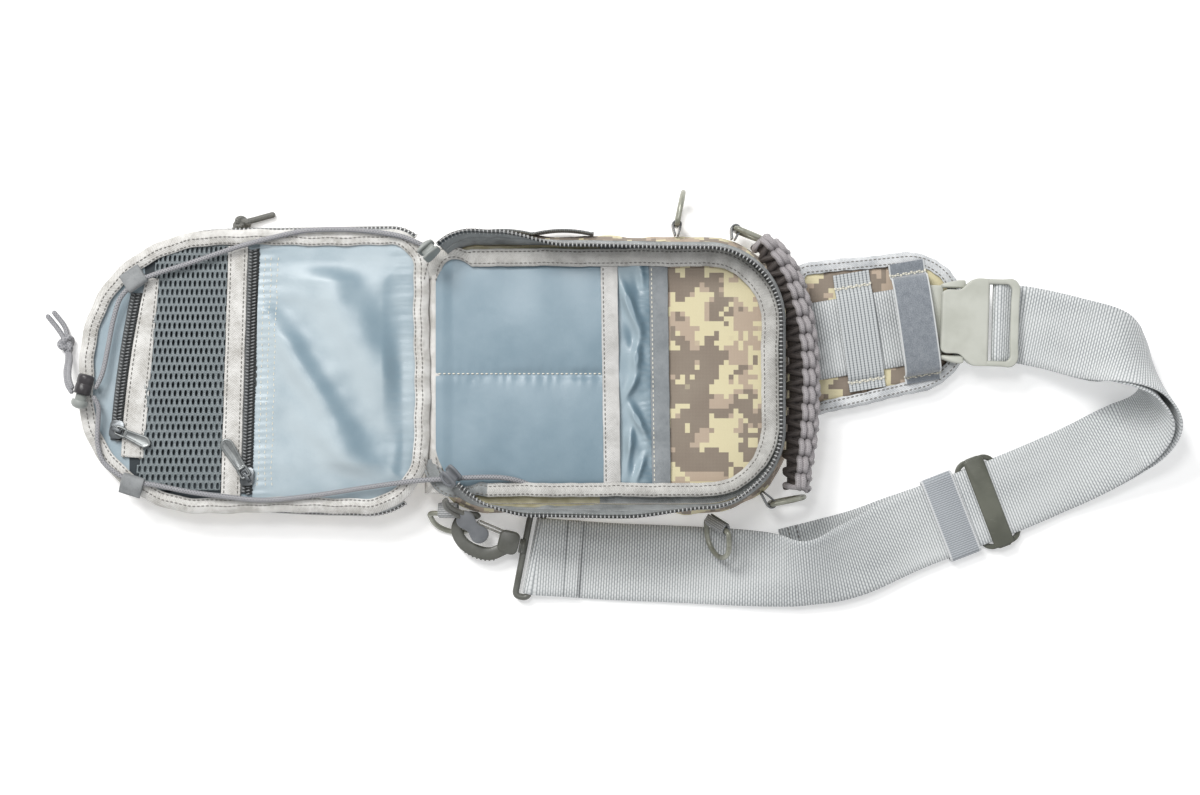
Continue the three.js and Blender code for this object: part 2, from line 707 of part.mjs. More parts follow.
piece(bag, "bungee_upper", cord(BUNGEE_UPPER_ROUTE, BUNGEE, 28), cloth(COLOR.cord));
piece(bag, "bungee_lower", cord(BUNGEE_LOWER_ROUTE, BUNGEE, 34), cloth(COLOR.cord));

// The lock's own x axis runs from the barrel's closed end to the button.
const LOCK = { round: 10.6, barrel: 13, bore: 3.8, travel: 3.4 };
const lock = place(v(-335, 0, 33.6), v(-0.26, -0.965, 0.02), v(0.965, -0.26, 0));
const sideways = (geometry) => geometry.rotateZ(-Math.PI / 2);
const turned = (profile, sides) =>
  sideways(new THREE.LatheGeometry(profile.map(([r, x]) => new THREE.Vector2(r, x)), sides));
const barrelProfile = [
  [0, 0],
  [LOCK.round / 2 - 1.2, 0],
  [LOCK.round / 2, 1.4],
  [LOCK.round / 2, LOCK.barrel],
  [LOCK.bore, LOCK.barrel],
  [LOCK.bore, 2.4],
  [0, 2.4],
];
const buttonProfile = [
  [0, LOCK.travel + 3],
  [LOCK.bore - GAP, LOCK.travel + 3],
  [LOCK.bore - GAP, LOCK.barrel + LOCK.travel + 0.4],
  [LOCK.round / 2, LOCK.barrel + LOCK.travel + 0.4],
  [LOCK.round / 2, LOCK.barrel + LOCK.travel + 3],
  [LOCK.round / 2 - 2, LOCK.barrel + LOCK.travel + 5.4],
  [0, LOCK.barrel + LOCK.travel + 6],
];
const cordWay = block(5, 20, 4.2).translate(9.4, 0, 0);
const cordSlot = block(8.6, 20, 4.6).translate(11.4, 0, 0);
piece(lock, "cord_lock_barrel", cut(turned(barrelProfile, 12), cordWay), hard(COLOR.charcoal));
piece(lock, "cord_lock_button", cut(turned(buttonProfile, 12), cordSlot), hard(COLOR.plastic));

const ball = (at, size) =>
  new THREE.SphereGeometry(1, 8, 5).scale(size.x, size.y, size.z).translate(at.x, at.y, at.z);
const KNOT = v(-353.4, 19.8, 5.4);
const TAIL_STRANDS = [
  [
    [-344.6, -11.8, 32.4],
    [-348.6, -6.4, 28],
    [-351.6, 2, 18],
    [-352.2, 10, 9],
    [-353, 19, 5],
  ],
  [
    [-344.4, -9.2, 32.4],
    [-347, -3.6, 29],
    [-349.4, 3.6, 18],
    [-350.2, 11, 9],
    [-352, 19, 5],
  ],
];
const CUT_ENDS = [
  [
    [-354, 20, 5],
    [-359, 29, 2.4],
    [-367.6, 39.4, 1.8],
  ],
  [
    [-352.6, 21, 5],
    [-355, 31, 2.4],
    [-363, 41.8, 1.8],
  ],
];
const strands = TAIL_STRANDS.map((route) => cord(route, BUNGEE, 5));
const ends = CUT_ENDS.map((route) => cord(route, BUNGEE, 3));
piece(bag, "bungee_knot", join(ball(KNOT, v(6.2, 6.8, 5)), ...strands, ...ends), cloth(COLOR.cord));

// A knotted cord pull on the front pocket's own zip, which faces the floor.
const pullCord = [
  cord(
    [
      [-249, 89.1, 6],
      [-245, 93.6, 6],
      [-240, 97.6, 5.4],
    ],
    4,
    3,
  ),
  cord(
    [
      [-240, 98.6, 5.4],
      [-230, 101.2, 3],
      [-218.6, 104.4, 2.3],
    ],
    4,
    4,
  ),
  ball(v(-240, 98.4, 5.2), v(6.4, 4.6, 4.8)),
];
piece(bag, "pull_cord", join(...pullCord), cloth(COLOR.braid));

// D-rings

const RING = { wide: 27, leg: 8, sides: 6, arcSteps: 7 };

// A D of wire in the local x and y plane: the bar lies on the y axis and the bow points to +x.
function ringGeometry() {
  const half = RING.wide / 2;
  const bow = count(RING.arcSteps + 1).map((k) => {
    const angle = -Math.PI / 2 + (Math.PI * k) / RING.arcSteps;
    return v(RING.leg + half * Math.cos(angle), half * Math.sin(angle), 0);
  });
  const route = [v(1, -half, 0), ...bow, v(1, half, 0), v(0, half - 1, 0), v(0, 1 - half, 0)];
  const frames = route.map((at, i) => {
    const before = route[(i + route.length - 1) % route.length];
    const after = route[(i + 1) % route.length];
    const tangent = after.clone().sub(before).normalize();
    return { at, out: v(tangent.y, -tangent.x, 0), up: UP };
  });
  const wire = count(RING.sides).map((k) => {
    const angle = (2 * Math.PI * (k + 0.5)) / RING.sides;
    return [(WIRE / 2) * Math.cos(angle), (WIRE / 2) * Math.sin(angle)];
  });
  return sweep(frames, wire, true);
}

// A strip of webbing folded round the bar of a ring and sewn to the bag behind it.
function loopGeometry(reach, wide, stand) {
  const outer = [
    [-reach, -stand],
    [-1, -3.2],
    [1.4, -3],
    [3, -1.4],
    [3, 1.4],
    [1.4, 3],
    [-1, 3.2],
    [-reach, stand],
  ];
  const hole = count(8).map((k) => [2.1 * Math.cos((k * Math.PI) / 4), 2.1 * Math.sin((k * Math.PI) / 4)]);
  return plate(outer, -wide / 2, wide / 2, [hole]).rotateX(Math.PI / 2);
}

// bow and bar are the ring's directions, away points from the bag to the bar, reach is how far that is and wide
// the loop's width.
const RINGS = [
  { name: "side", at: v(41.5, 96.4, 18), bow: v(0.2, 0.98, 0), bar: UP, away: v(0, 1, 0), reach: 7 },
  { name: "handle_upper", at: v(79, 93.4, 23), bow: v(0.93, -0.37, 0), bar: UP, away: v(0.18, 0.98, 0), reach: 4.6 },
  { name: "handle_lower", at: v(102, -82.6, 23), bow: v(1, 0.2, 0), bar: UP, away: v(0.64, -0.77, 0), reach: 5 },
  { name: "free", at: v(67.5, -97, 23), bow: v(0.05, -0.93, -0.36), bar: v(0.5, -0.3, 0.8), away: v(0, -1, 0), reach: 4.8 },
  {
    name: "hook",
    at: v(-105.2, -89, 19),
    bow: v(0.25, -0.6, -0.76),
    bar: v(0.954, 0.02, 0.298),
    away: v(0, -1, 0),
    reach: 6.8,
    wide: 13,
  },
];
for (const { name, at, bow, bar, away, reach, wide = RING.wide - 6 } of RINGS) {
  piece(place(at, bow, bar), `ring_${name}`, ringGeometry(), hard(COLOR.olive, 0.3));
  const across = away.clone().addScaledVector(bar, -away.dot(bar) / bar.lengthSq());
  piece(place(at, across, bar), `loop_${name}`, loopGeometry(reach, wide, 1.6), cloth(COLOR.hem));
}

// Carrying handle: a flat braid from one ring to the other

const HANDLE_ROUTE = [
  [108.6, 82, 33],
  [116, 65, 33.5],
  [122, 38, 33.5],
  [125, 8, 33.5],
  [125, -24, 33.5],
  [124.4, -50, 33],
  [124.6, -67, 32],
];
const HANDLE = { wide: 20, thick: 10, knots: 14, tilt: 24 };
const handleCurve = new THREE.CatmullRomCurve3(HANDLE_ROUTE.map(([x, y, z]) => v(x, y, z)));
const handleFrames = count(2 * HANDLE.knots + 1).map((k) => {
  const s = k / (2 * HANDLE.knots);
  const tangent = handleCurve.getTangentAt(s);
  const flat = tangent.clone().cross(UP).normalize();
  const out = flat.clone().applyAxisAngle(tangent, rad(HANDLE.tilt));
  return { at: handleCurve.getPointAt(s), out, up: out.clone().cross(tangent) };
});

function handleSection(frame, i) {
  const bead = i % 2 ? 1 : 0.86;
  const half = (HANDLE.wide / 2) * bead;
  const deep = (HANDLE.thick / 2) * bead;
  return [
    [-half, 0],
    [-half * 0.8, -deep * 0.8],
    [0, -deep],
    [half * 0.8, -deep * 0.8],
    [half, 0],
    [half * 0.8, deep * 0.8],
    [0, deep],
    [-half * 0.8, deep * 0.8],
  ];
}
piece(bag, "handle", sweep(handleFrames, handleSection), cloth(COLOR.braid));

// Shoulder yoke

const YOKE = { long: 112, half: 50, tipHalf: 43, thick: 14, turn: 9.5 };
const yoke = place(v(116.4, 21, 0), v(Math.cos(rad(YOKE.turn)), Math.sin(rad(YOKE.turn)), 0), v(0, 1, 0));
const yokeBox = { left: 0, right: YOKE.long, bottom: -YOKE.half, top: YOKE.half, radii: [10, 34, 34, 10] };

// Narrows towards the tip and cuts the base square to the bag.
const yokeOutline = roundedBox(yokeBox).map(({ at, out, up }) => {
  const y = at.y * lerp(1, YOKE.tipHalf / YOKE.half, at.x / YOKE.long);
  return { at: v(at.x + y * Math.tan(rad(YOKE.turn)) * (1 - at.x / YOKE.long), y, 0), out, up };
});
piece(
  yoke,
  "yoke_pad",
  stack(yokeOutline, [
    { inset: 3, z: 0 },
    { inset: 1.8, z: 1.5 },
    { inset: 1.8, z: YOKE.thick - 1 },
    { inset: 3, z: YOKE.thick },
  ]),
  cloth(COLOR.camouflage),
);
const YOKE_BINDING = [
  [-8, YOKE.thick + GAP],
  [-2.6, YOKE.thick + GAP],
  [-1.4, YOKE.thick - 0.8],
  [-1.4, 1.2],
  [-0.2, 1.2],
  [0, YOKE.thick - 0.4],
  [-2, YOKE.thick + 1.6],
  [-8, YOKE.thick + 1.6],
];
piece(yoke, "yoke_binding", sweep(yokeOutline, YOKE_BINDING, true), cloth(COLOR.binding));

const YOKE_WEBBING = { left: 14.5, right: 91, bottom: -WEBBING_WIDE / 2 - 2, top: WEBBING_WIDE / 2 - 2, radii: even(1) };
const webbingLow = YOKE.thick + GAP;
const webbingTop = webbingLow + WEBBING_THICK;
piece(yoke, "yoke_webbing", plate(corners(YOKE_WEBBING, 1), webbingLow, webbingTop), cloth(COLOR.webbing));

// A band across the yoke: rows of y and the height of its lower face.
function yokeBand(left, wide, rows, slant) {
  const frames = rows.map(({ y, z }) => ({ at: v(left + slant * y, y, z), out: v(1, 0, 0), up: UP }));
  return sweep(frames, [
    [0, 0],
    [wide, 0],
    [wide, 1.3],
    [0, 1.3],
  ]);
}
const ELASTIC_ROWS = [
  { y: -38, z: webbingLow },
  { y: -31, z: webbingLow },
  { y: -28, z: webbingTop + GAP },
  { y: 24, z: webbingTop + GAP },
  { y: 27, z: webbingLow },
  { y: 38, z: webbingLow },
];
const STRIP_ROWS = [
  { y: -39, z: webbingTop },
  { y: -34, z: webbingTop },
  { y: -31, z: webbingTop + 9 },
  { y: 27, z: webbingTop + 9 },
  { y: 30, z: webbingTop },
  { y: 39, z: webbingTop },
];
piece(yoke, "yoke_elastic", yokeBand(31.5, 24, ELASTIC_ROWS, 0.02), cloth(COLOR.hem));
piece(yoke, "yoke_loop_strip", yokeBand(67.6, 24, STRIP_ROWS, 0.02), cloth(COLOR.loop));

// Side release buckle. Its x axis points along the strap; z = 0 is its middle.

const BUCKLE = { half: 28, thick: 12, barX: 13, barRound: 4 };
const buckle = place(v(234.4, 33.6, 24), v(0.9995, -0.03, 0), v(0, 1, 0));
const femaleCorners = [
  [-22.8, -17.4],
  [-20.8, -19.3],
  [-8, -19.3],
  [-8, -26],
  [-6, -BUCKLE.half],
  [23, -BUCKLE.half],
  [26, -25],
  [26, 25],
  [23, BUCKLE.half],
  [-6, BUCKLE.half],
  [-8, 26],
  [-8, 19.3],
  [-20.8, 19.3],
  [-22.8, 17.4],
];
const femaleWindow = corners({ left: 7.6, right: 21.6, bottom: -25.7, top: 25.7, radii: even(1) }, 1);
const femaleBody = plate(femaleCorners, -BUCKLE.thick / 2, BUCKLE.thick / 2, [femaleWindow]);
const strapWay = block(12, 51.4, BUCKLE.thick).translate(24, 0, -3.8);
const femaleBar = new THREE.CylinderGeometry(BUCKLE.barRound / 2, BUCKLE.barRound / 2, 53, 8).translate(13, 0, 0);
piece(buckle, "buckle_female", join(cut(femaleBody, strapWay), femaleBar), hard(COLOR.plastic));

const maleCorners = [
  [-41, -21],
  [-38, -24],
  [-22, -25],
  [-8.4, -27.4],
  [-8.4, -19.8],
  [-23.4, -19.8],
  [-23.4, 19.8],
  [-8.4, 19.8],
  [-8.4, 27.4],
  [-22, 25],
  [-38, 24],
  [-41, 21],
];
const maleWindow = corners({ left: -37.6, right: -30.6, bottom: -20, top: 20, radii: even(1) }, 1);
piece(buckle, "buckle_male", plate(maleCorners, -7.4, 0.4, [maleWindow]), hard(COLOR.plastic));

// Strap: one length of webbing, folded round the hook's bar, run to the buckle and back under itself

const wideOf = ({ heading, rise }) =>
  v(Math.cos(rad(heading)) * Math.cos(rad(rise)), Math.sin(rad(heading)) * Math.cos(rad(rise)), Math.sin(rad(rise)));

// Evenly spread stations along a route, each with its width direction.
function stations(route, steps) {
  const middle = new THREE.CatmullRomCurve3(route.map(({ x, y, z }) => v(x, y, z)));
  const width = new THREE.CatmullRomCurve3(route.map(wideOf));
  return count(steps + 1).map((k) => {
    const t = middle.getUtoTmapping(k / steps);
    const row = Math.min(route.length - 2, Math.floor(t * (route.length - 1)));
    const apart = lerp(route[row].apart, route[row + 1].apart, t * (route.length - 1) - row);
    return { at: middle.getPoint(t), wide: width.getPoint(t).normalize(), apart };
  });
}

// Half-turns round a bar: points at a distance from its middle, from one angle to another in the plane across it.
function roundBar(middle, wide, distance, from, to, steps) {
  const ahead = wide.clone().cross(UP).normalize();
  return count(steps + 1).map((k) => {
    const angle = rad(lerp(from, to, k / steps));
    const at = middle.clone().addScaledVector(ahead, distance * Math.cos(angle));
    return { at: at.addScaledVector(UP, distance * Math.sin(angle)), wide };
  });
}

const HOOK_BAR = { at: v(-49.4, -117.4, 6), round: 4.2 };
const hookBarWide = wideOf({ heading: 79, rise: 0 });
const buckleBarAt = buckle.localToWorld(v(BUCKLE.barX, 0, 0));
const buckleWide = v(0.03, 0.9995, 0);
const aroundHook = HOOK_BAR.round / 2 + GAP + WEBBING_THICK / 2;
const aroundBuckle = BUCKLE.barRound / 2 + GAP + WEBBING_THICK / 2;

function strapFrames() {
  const band = stations(STRAP_ROUTE, 44);
  const normals = band.map(({ wide }, i) => {
    const before = band[Math.max(0, i - 1)].at;
    const after = band[Math.min(band.length - 1, i + 1)].at;
    return after.clone().sub(before).cross(wide).normalize();
  });
  const layer = (side, from) =>
    band.slice(from).map(({ at, wide, apart }, i) => ({
      at: at.clone().addScaledVector(normals[i + from], side * apart),
      wide,
    }));
  const tailStart = band.findIndex(({ at }) => at.x > 236);
  const hem = [
    { at: v(-20, -119.4, 5.4), wide: wideOf(STRAP_ROUTE[0]) },
    { at: v(-36, -118.4, 7.6), wide: wideOf({ heading: 81, rise: 0 }) },
  ];
  return [
    ...hem,
    ...roundBar(HOOK_BAR.at, hookBarWide, aroundHook, 75, 262, 6),
    ...layer(1, 0),
    ...roundBar(buckleBarAt, buckleWide, aroundBuckle, -72, -288, 6),
    ...layer(-1, tailStart).reverse(),
    ...stations(TAIL_ROUTE, 7),
  ];
}

function ribbon(run) {
  const frames = run.map(({ at, wide }, i) => {
    const before = run[Math.max(0, i - 1)].at;
    const after = run[Math.min(run.length - 1, i + 1)].at;
    const tangent = after.clone().sub(before).normalize();
    const out = wide.clone().addScaledVector(tangent, -wide.dot(tangent)).normalize();
    return { at, out, up: tangent.clone().cross(out) };
  });
  const half = WEBBING_WIDE / 2;
  const thick = WEBBING_THICK / 2;
  return sweep(frames, [
    [-half, -thick],
    [half, -thick],
    [half, thick],
    [-half, thick],
  ]);
}
piece(bag, "strap", ribbon(strapFrames()), cloth(COLOR.webbing));

// Keeper: a wrapped band round both layers of the strap.
const keeper = place(v(219.2, -91.4, 4.7), v(0.93, 0.36, 0), v(-0.36, 0.93, 0));
const keeperOuter = corners({ left: -28, right: 28, bottom: -4.5, top: 6.6, radii: even(2.6) }, 2);
const keeperInner = corners({ left: -26.2, right: 26.2, bottom: -2.9, top: 5, radii: even(1) }, 1);
const keeperBand = plate(keeperOuter, -10.5, 10.5, [keeperInner]).rotateX(Math.PI / 2).rotateZ(Math.PI / 2);
piece(keeper, "strap_keeper", keeperBand, cloth(COLOR.loop));

// Triglide: a frame under the main band with one bar over it.
const triglide = place(v(243.4, -82.2, 5.5), v(0.935, 0.355, 0), v(-0.355, 0.935, 0));
const glideFrame = corners({ left: -14, right: 14, bottom: -31, top: 31, radii: even(8) }, 3);
const glideWindow = corners({ left: -10.6, right: 10.6, bottom: -26, top: 26, radii: even(3) }, 2);
const glideBar = corners({ left: -4.4, right: 4.4, bottom: -29, top: 29, radii: even(1.5) }, 2);
const glideBase = plate(glideFrame, -1.1, 1.1, [glideWindow]);
const glidePosts = [-28.5, 28.5].map((y) => block(8, 4.4, 6).translate(0, y, 2.4));
piece(triglide, "triglide", join(glideBase, plate(glideBar, 3.8, 6), ...glidePosts), hard(COLOR.olive));

// Snap hook. Its x axis runs from the strap's bar to the nose and its +y side is the back of the hook.

const HOOK = { thick: 6, gatePin: v(11.4, -5.4, 0), gateTip: v(31.2, -8.7, 0) };
const hook = place(v(-58.9, -110.6, 10), v(-0.972, 0.235, 0), v(-0.235, -0.972, 0));
const HOOK_BACK = [
  { x: 10, y: 4, wide: 8 },
  { x: 18, y: 9.4, wide: 8.2 },
  { x: 28, y: 9.8, wide: 8 },
  { x: 37, y: 6.6, wide: 7.6 },
  { x: 42.6, y: 0, wide: 7.2 },
  { x: 42.6, y: -6.4, wide: 6.4 },
  { x: 38.4, y: -11, wide: 5.4 },
  { x: 29.8, y: -12.8, wide: 4.2 },
];

function hookBack() {
  const curve = new THREE.CatmullRomCurve3(HOOK_BACK.map(({ x, y }) => v(x, y, 0)));
  const rows = HOOK_BACK.map((row, i) => ({ at: i / (HOOK_BACK.length - 1), wide: row.wide }));
  const frames = count(19).map((k) => {
    const s = k / 18;
    const tangent = curve.getTangent(s);
    return { at: curve.getPoint(s), out: v(tangent.y, -tangent.x, 0), up: UP, half: read(rows, "wide", s) / 2 };
  });
  const deep = HOOK.thick / 2;
  return sweep(frames, ({ half }) => [
    [-half, -deep + 1.4],
    [-half + 1.4, -deep],
    [half - 1.4, -deep],
    [half, -deep + 1.4],
    [half, deep - 1.4],
    [half - 1.4, deep],
    [-half + 1.4, deep],
    [-half, deep - 1.4],
  ]);
}

const hookRoot = plate(corners({ left: 1.7, right: 15, bottom: -8, top: 7, radii: even(4) }, 2), -3.4, 3.4);
const gateSlot = block(12, 8, 3.2).translate(15, -6.4, 0);
piece(hook, "hook_body", cut(join(hookBack(), hookRoot), gateSlot), hard(COLOR.charcoal));

// The gate: a flat hairpin of wire from its pin in the root to the nose.
const gateWay = HOOK.gateTip.clone().sub(HOOK.gatePin);
const gateLong = gateWay.length();
const gateOutline = corners({ left: -2, right: gateLong, bottom: -1.6, top: 1.6, radii: even(1.5) }, 2);
const gateHole = corners({ left: 3, right: gateLong - 2.4, bottom: -0.5, top: 0.5, radii: even(0.2) }, 1);
const gateGeometry = plate(gateOutline, -1.2, 1.2, [gateHole]).rotateZ(Math.atan2(gateWay.y, gateWay.x));
gateGeometry.translate(HOOK.gatePin.x, HOOK.gatePin.y, 0);
piece(hook, "hook_gate", gateGeometry, hard(COLOR.steel, 0.9));

// The eye that holds the strap: a long ring with the swivel's collar on its outer side.
const eye = place(HOOK_BAR.at, v(-Math.sin(rad(79)), Math.cos(rad(79)), 0), v(-Math.cos(rad(79)), -Math.sin(rad(79)), 0));
const EYE = { bar: 4.2, across: 8.4, half: 27.6 };
const eyeRoute = [
  [0, -EYE.half + 2],
  [2.4, -EYE.half],
  [EYE.across - 2.4, -EYE.half],
  [EYE.across, -EYE.half + 2.4],
  [EYE.across, EYE.half - 2.4],
  [EYE.across - 2.4, EYE.half],
  [2.4, EYE.half],
  [0, EYE.half - 2],
];
const eyeFrames = eyeRoute.map(([x, y], i) => {
  const before = eyeRoute[(i + eyeRoute.length - 1) % eyeRoute.length];
  const after = eyeRoute[(i + 1) % eyeRoute.length];
  const tangent = v(after[0] - before[0], after[1] - before[1], 0).normalize();
  return { at: v(x, y, 0), out: v(tangent.y, -tangent.x, 0), up: UP };
});
const eyeWire = count(8).map((k) => {
  const angle = (Math.PI * (k + 0.5)) / 4;
  return [(EYE.bar / 2) * Math.cos(angle), (EYE.bar / 2) * Math.sin(angle)];
});
const collar = turned(
  [
    [0, EYE.across],
    [4.6, EYE.across],
    [4.6, EYE.across + 3.4],
    [0, EYE.across + 3.4],
  ],
  12,
);
const swivel = collar.translate(0, -4.9, 2);
piece(eye, "hook_eye", join(sweep(eyeFrames, eyeWire, true), swivel), hard(COLOR.charcoal));

// Sliders of the clamshell zip, one at each end by the hinge, and the puller that hangs from the lower one

// before is how far the slider sits past the end of the zip, along the zip's run.
function clamshellSlider(name, frame, run, before) {
  const middle = frame.at.clone().addScaledVector(frame.up, ZIP_WIDE - 1).addScaledVector(run, before);
  const box = { left: -5.2, right: 5.2, bottom: -6, top: 6, radii: even(3) };
  piece(place(middle, frame.up, run), name, plate(corners(box), -4.2, 4.2), hard(COLOR.charcoal));
}
const runOf = (a, b) => b.at.clone().sub(a.at).normalize();
const lowerRun = runOf(traySides[1], traySides[0]);
const upperRun = runOf(traySides.at(-2), traySides.at(-1));
clamshellSlider("zip_slider_lower", zipFrames[0], lowerRun, 6.8);
clamshellSlider("zip_slider_upper", zipFrames.at(-1), upperRun, 6.8);

const PULLER = { half: 10, end: 6.3, waist: 4, thick: 2.8 };
const pullerShape = [
  [-PULLER.half, -PULLER.end + 2],
  [-PULLER.half + 2, -PULLER.end],
  [-4, -PULLER.end + 0.6],
  [0, -PULLER.waist],
  [4, -PULLER.end + 0.6],
  [PULLER.half - 2, -PULLER.end],
  [PULLER.half, -PULLER.end + 2],
];
const pullerCorners = [...pullerShape, ...pullerShape.map(([x, y]) => [x, -y]).reverse()];
const PULLER_CORD = [
  [-8, 0, 1.4],
  [-11, 0, 1.5],
  [-16.5, -1.2, 2.6],
  [-25, -2, 7.8],
  [-32.6, 0, 13.2],
];
const puller = place(v(-90, -97.4, 21.4), v(0.61, -0.68, -0.41), v(0.74, 0.67, 0));
const pullerTab = plate(pullerCorners, 0, PULLER.thick);
piece(puller, "zip_puller", join(pullerTab, cord(PULLER_CORD, 4, 6)), cloth(COLOR.loop));

export default bag;
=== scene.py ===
"""Dresses the solids of an opened sling bag: cloth, webbing, zips, cords and hard parts, in the frame of
the solids.

Lengths are millimetres until a mesh is written. +X runs from the front unit to the strap, +Y is up in the
picture and +Z points at the camera.
"""

import math

import bmesh
import bpy
import numpy as np
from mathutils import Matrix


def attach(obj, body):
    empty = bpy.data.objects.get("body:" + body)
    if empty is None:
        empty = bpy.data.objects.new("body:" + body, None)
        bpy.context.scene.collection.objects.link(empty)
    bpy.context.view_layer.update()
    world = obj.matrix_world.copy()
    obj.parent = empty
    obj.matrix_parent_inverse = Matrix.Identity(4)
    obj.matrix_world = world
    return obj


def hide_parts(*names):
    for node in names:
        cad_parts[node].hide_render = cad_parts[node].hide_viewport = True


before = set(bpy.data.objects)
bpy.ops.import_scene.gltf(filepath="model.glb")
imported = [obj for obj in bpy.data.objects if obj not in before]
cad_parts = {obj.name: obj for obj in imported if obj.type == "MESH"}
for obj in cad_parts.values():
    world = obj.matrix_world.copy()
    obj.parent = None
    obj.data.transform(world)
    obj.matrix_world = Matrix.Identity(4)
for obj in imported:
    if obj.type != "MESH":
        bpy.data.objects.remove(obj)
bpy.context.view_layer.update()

MM = 0.001
UP = np.array([0.0, 0.0, 1.0])
CLOTH_MAP = "cloth"  # the UV map of every new piece: lengths along and across the cloth, in metres
# painted light and shade: a loose lining's colour is lighter where it slopes towards the way below and darker
# where it slopes away
PAINTED_SLOPE_LIGHT = "painted_slope_light"  # an attribute of a loose lining: how far it slopes towards PAINTED_LIGHT_WAY
PAINTED_LIGHT_WAY = np.array([-0.94, -0.34, 0.0])

# Camera: straight above the middle of the picture, which is 1200 by 795 pixels.
CAMERA_AT = (-7.8, -14.6, 1800.0)
CAMERA_LENS, CAMERA_SENSOR = 83.08, 36
FLOOR_HALF, FLOOR_LINES, FLOOR_LEVEL = 4000, 9, -0.3
DIMMED = 0.8  # colours are taken this much darker, because the light is that much over white

# Driving sizes, the same as the solids' but for the body's rounder right-hand corners
GAP = 0.35
BODY = {"left": -114, "right": 112, "bottom": -86, "top": 86, "radii": (36, 52, 52, 28)}
BODY_DEEP = 31
FRONT = {"left": -341, "right": -118, "bottom": -87, "top": 91, "radii": (76, 40, 25, 85)}
FRONT_END, FRONT_HINGE = 22, 32
ZIP_WIDE = 14
BUNGEE = 3.2
WIRE = 3.4
TOOTH_PITCH = 2.6
OPEN_LOOP, SHUT_LOOP = (5.2, 1.25, 3.3), (4.4, 1.3, 2.5)  # length, width and height of the coils' loops
STITCH_PITCH = 2.9
CAMO_BLOCK = 3.1  # the side of the print's square blocks
HINGE_START, HINGE_STOP = 225, 495  # the tray's rim runs between these turns of its corners
BINDING_TURNS = (186, 534)  # and its binding between these, which meet at the hinge

# Heights, ends and margins of the tray's and the front unit's cloth
WALL_THICK = 1.5
ORGANIZER_HIGH, ORGANIZER_MARGIN = 30.9, 11
COATING_ENDS = -8  # the panel's margin is coated cloth left of here, and zip tape right of it
SLIP_LEVEL, SLIP_HALF = 31.9, 74
HEM_LEVEL, HEM_HALF = 31.5, 73
TRAY_SLANT = 0.015  # of the pockets' edges across the tray
LINING_LOWEST = 31.4
LINING_RIGHT = FRONT["right"] - 7
MESH_BRICK = (5.0, 5.4)  # the mesh's repeat across and along
MESH_COLUMNS, MESH_ROWS = 15, 30
MESH_BOTTOM, MESH_LONG = -74, 156
MESH_HOLE = (1.25, 1.9)  # half sizes across and along
MESH_RINGS = (0.35, 0.75, 0.3, -0.8)  # heights of a strand's rings, from the brick's border to its hole

# Sections of tapes: [out, up] corners, in the body's, the front's and the yoke's axes
BODY_BINDING_SECTION = [(-17, 34.0), (-8.2, 34.9), (-8, 36.6), (-12.4, 37.1), (-17, 35.3)]
FRONT_BINDING_SECTION = [
    (-8.4, 1.9), (-5.6, 1.9), (-4.6, 0.6), (1.4, -0.5), (1.7, 1.6), (-2.8, 4.4), (-8.4, 3.2),
]
YOKE_BINDING_SECTION = [
    (-8, 14.3), (-2.6, 14.3), (-1.5, 13.2), (-1.5, 1.2), (-0.2, 1.2), (0.2, 13.4), (-2, 15.8), (-8, 15.5),
]
HINGE_BAND = [
    (-119.4, 24), (-117.2, 28.4), (-114.6, 31.8), (-109, 31.8),
    (-109, 32.8), (-114.9, 32.9), (-118.4, 28.9), (-120.3, 24.3),
]

# The clamshell's wall along the rim: place, height, and the lean of the wall and of the zip tape in degrees
CLAMSHELL = [
    (0, 5, 4, -30), (0.1, 9, 16, 16), (0.2, 13, 16, 14), (0.3, 13, 8, -6), (0.36, 13, 1, -14),
    (0.5, 13, 0, -14), (0.72, 13, 1, -16), (0.86, 13, 6, -14), (0.94, 13, 17, 14), (1, 13, 18, 24),
]
FRONT_ZIP_LEAN = [(0, 24), (0.2, 18), (0.32, 7), (0.8, 7), (0.92, 18), (1, 22)]

# Folds in the loose linings: x, y, direction in degrees, length, width, height
LINING_FOLDS = [
    (-164, 29, 122, 140, 16, 8.0), (-192, -6, 124, 116, 9, 8.0), (-176, -48, 132, 70, 9, 6.0),
    (-202, 50, 169, 34, 5, 1.6), (-204, 22, 165, 34, 5, 1.4), (-132, -42, 73, 56, 5, 4.6),
    (-127, 46, 110, 24, 3.5, 2.6),
]
UPPER_POCKET_FOLDS = [
    (11, 44, 112, 34, 3.2, 4.2), (16, 14, 84, 30, 3.0, 3.8), (12, -8, 60, 16, 2.4, 3.2),
    (17, -30, 118, 22, 2.6, 4.0), (11, -46, 84, 24, 2.4, 3.6), (18, -60, 70, 18, 2.2, 3.0),
    (19, 62, 96, 16, 2.4, 2.6),
]

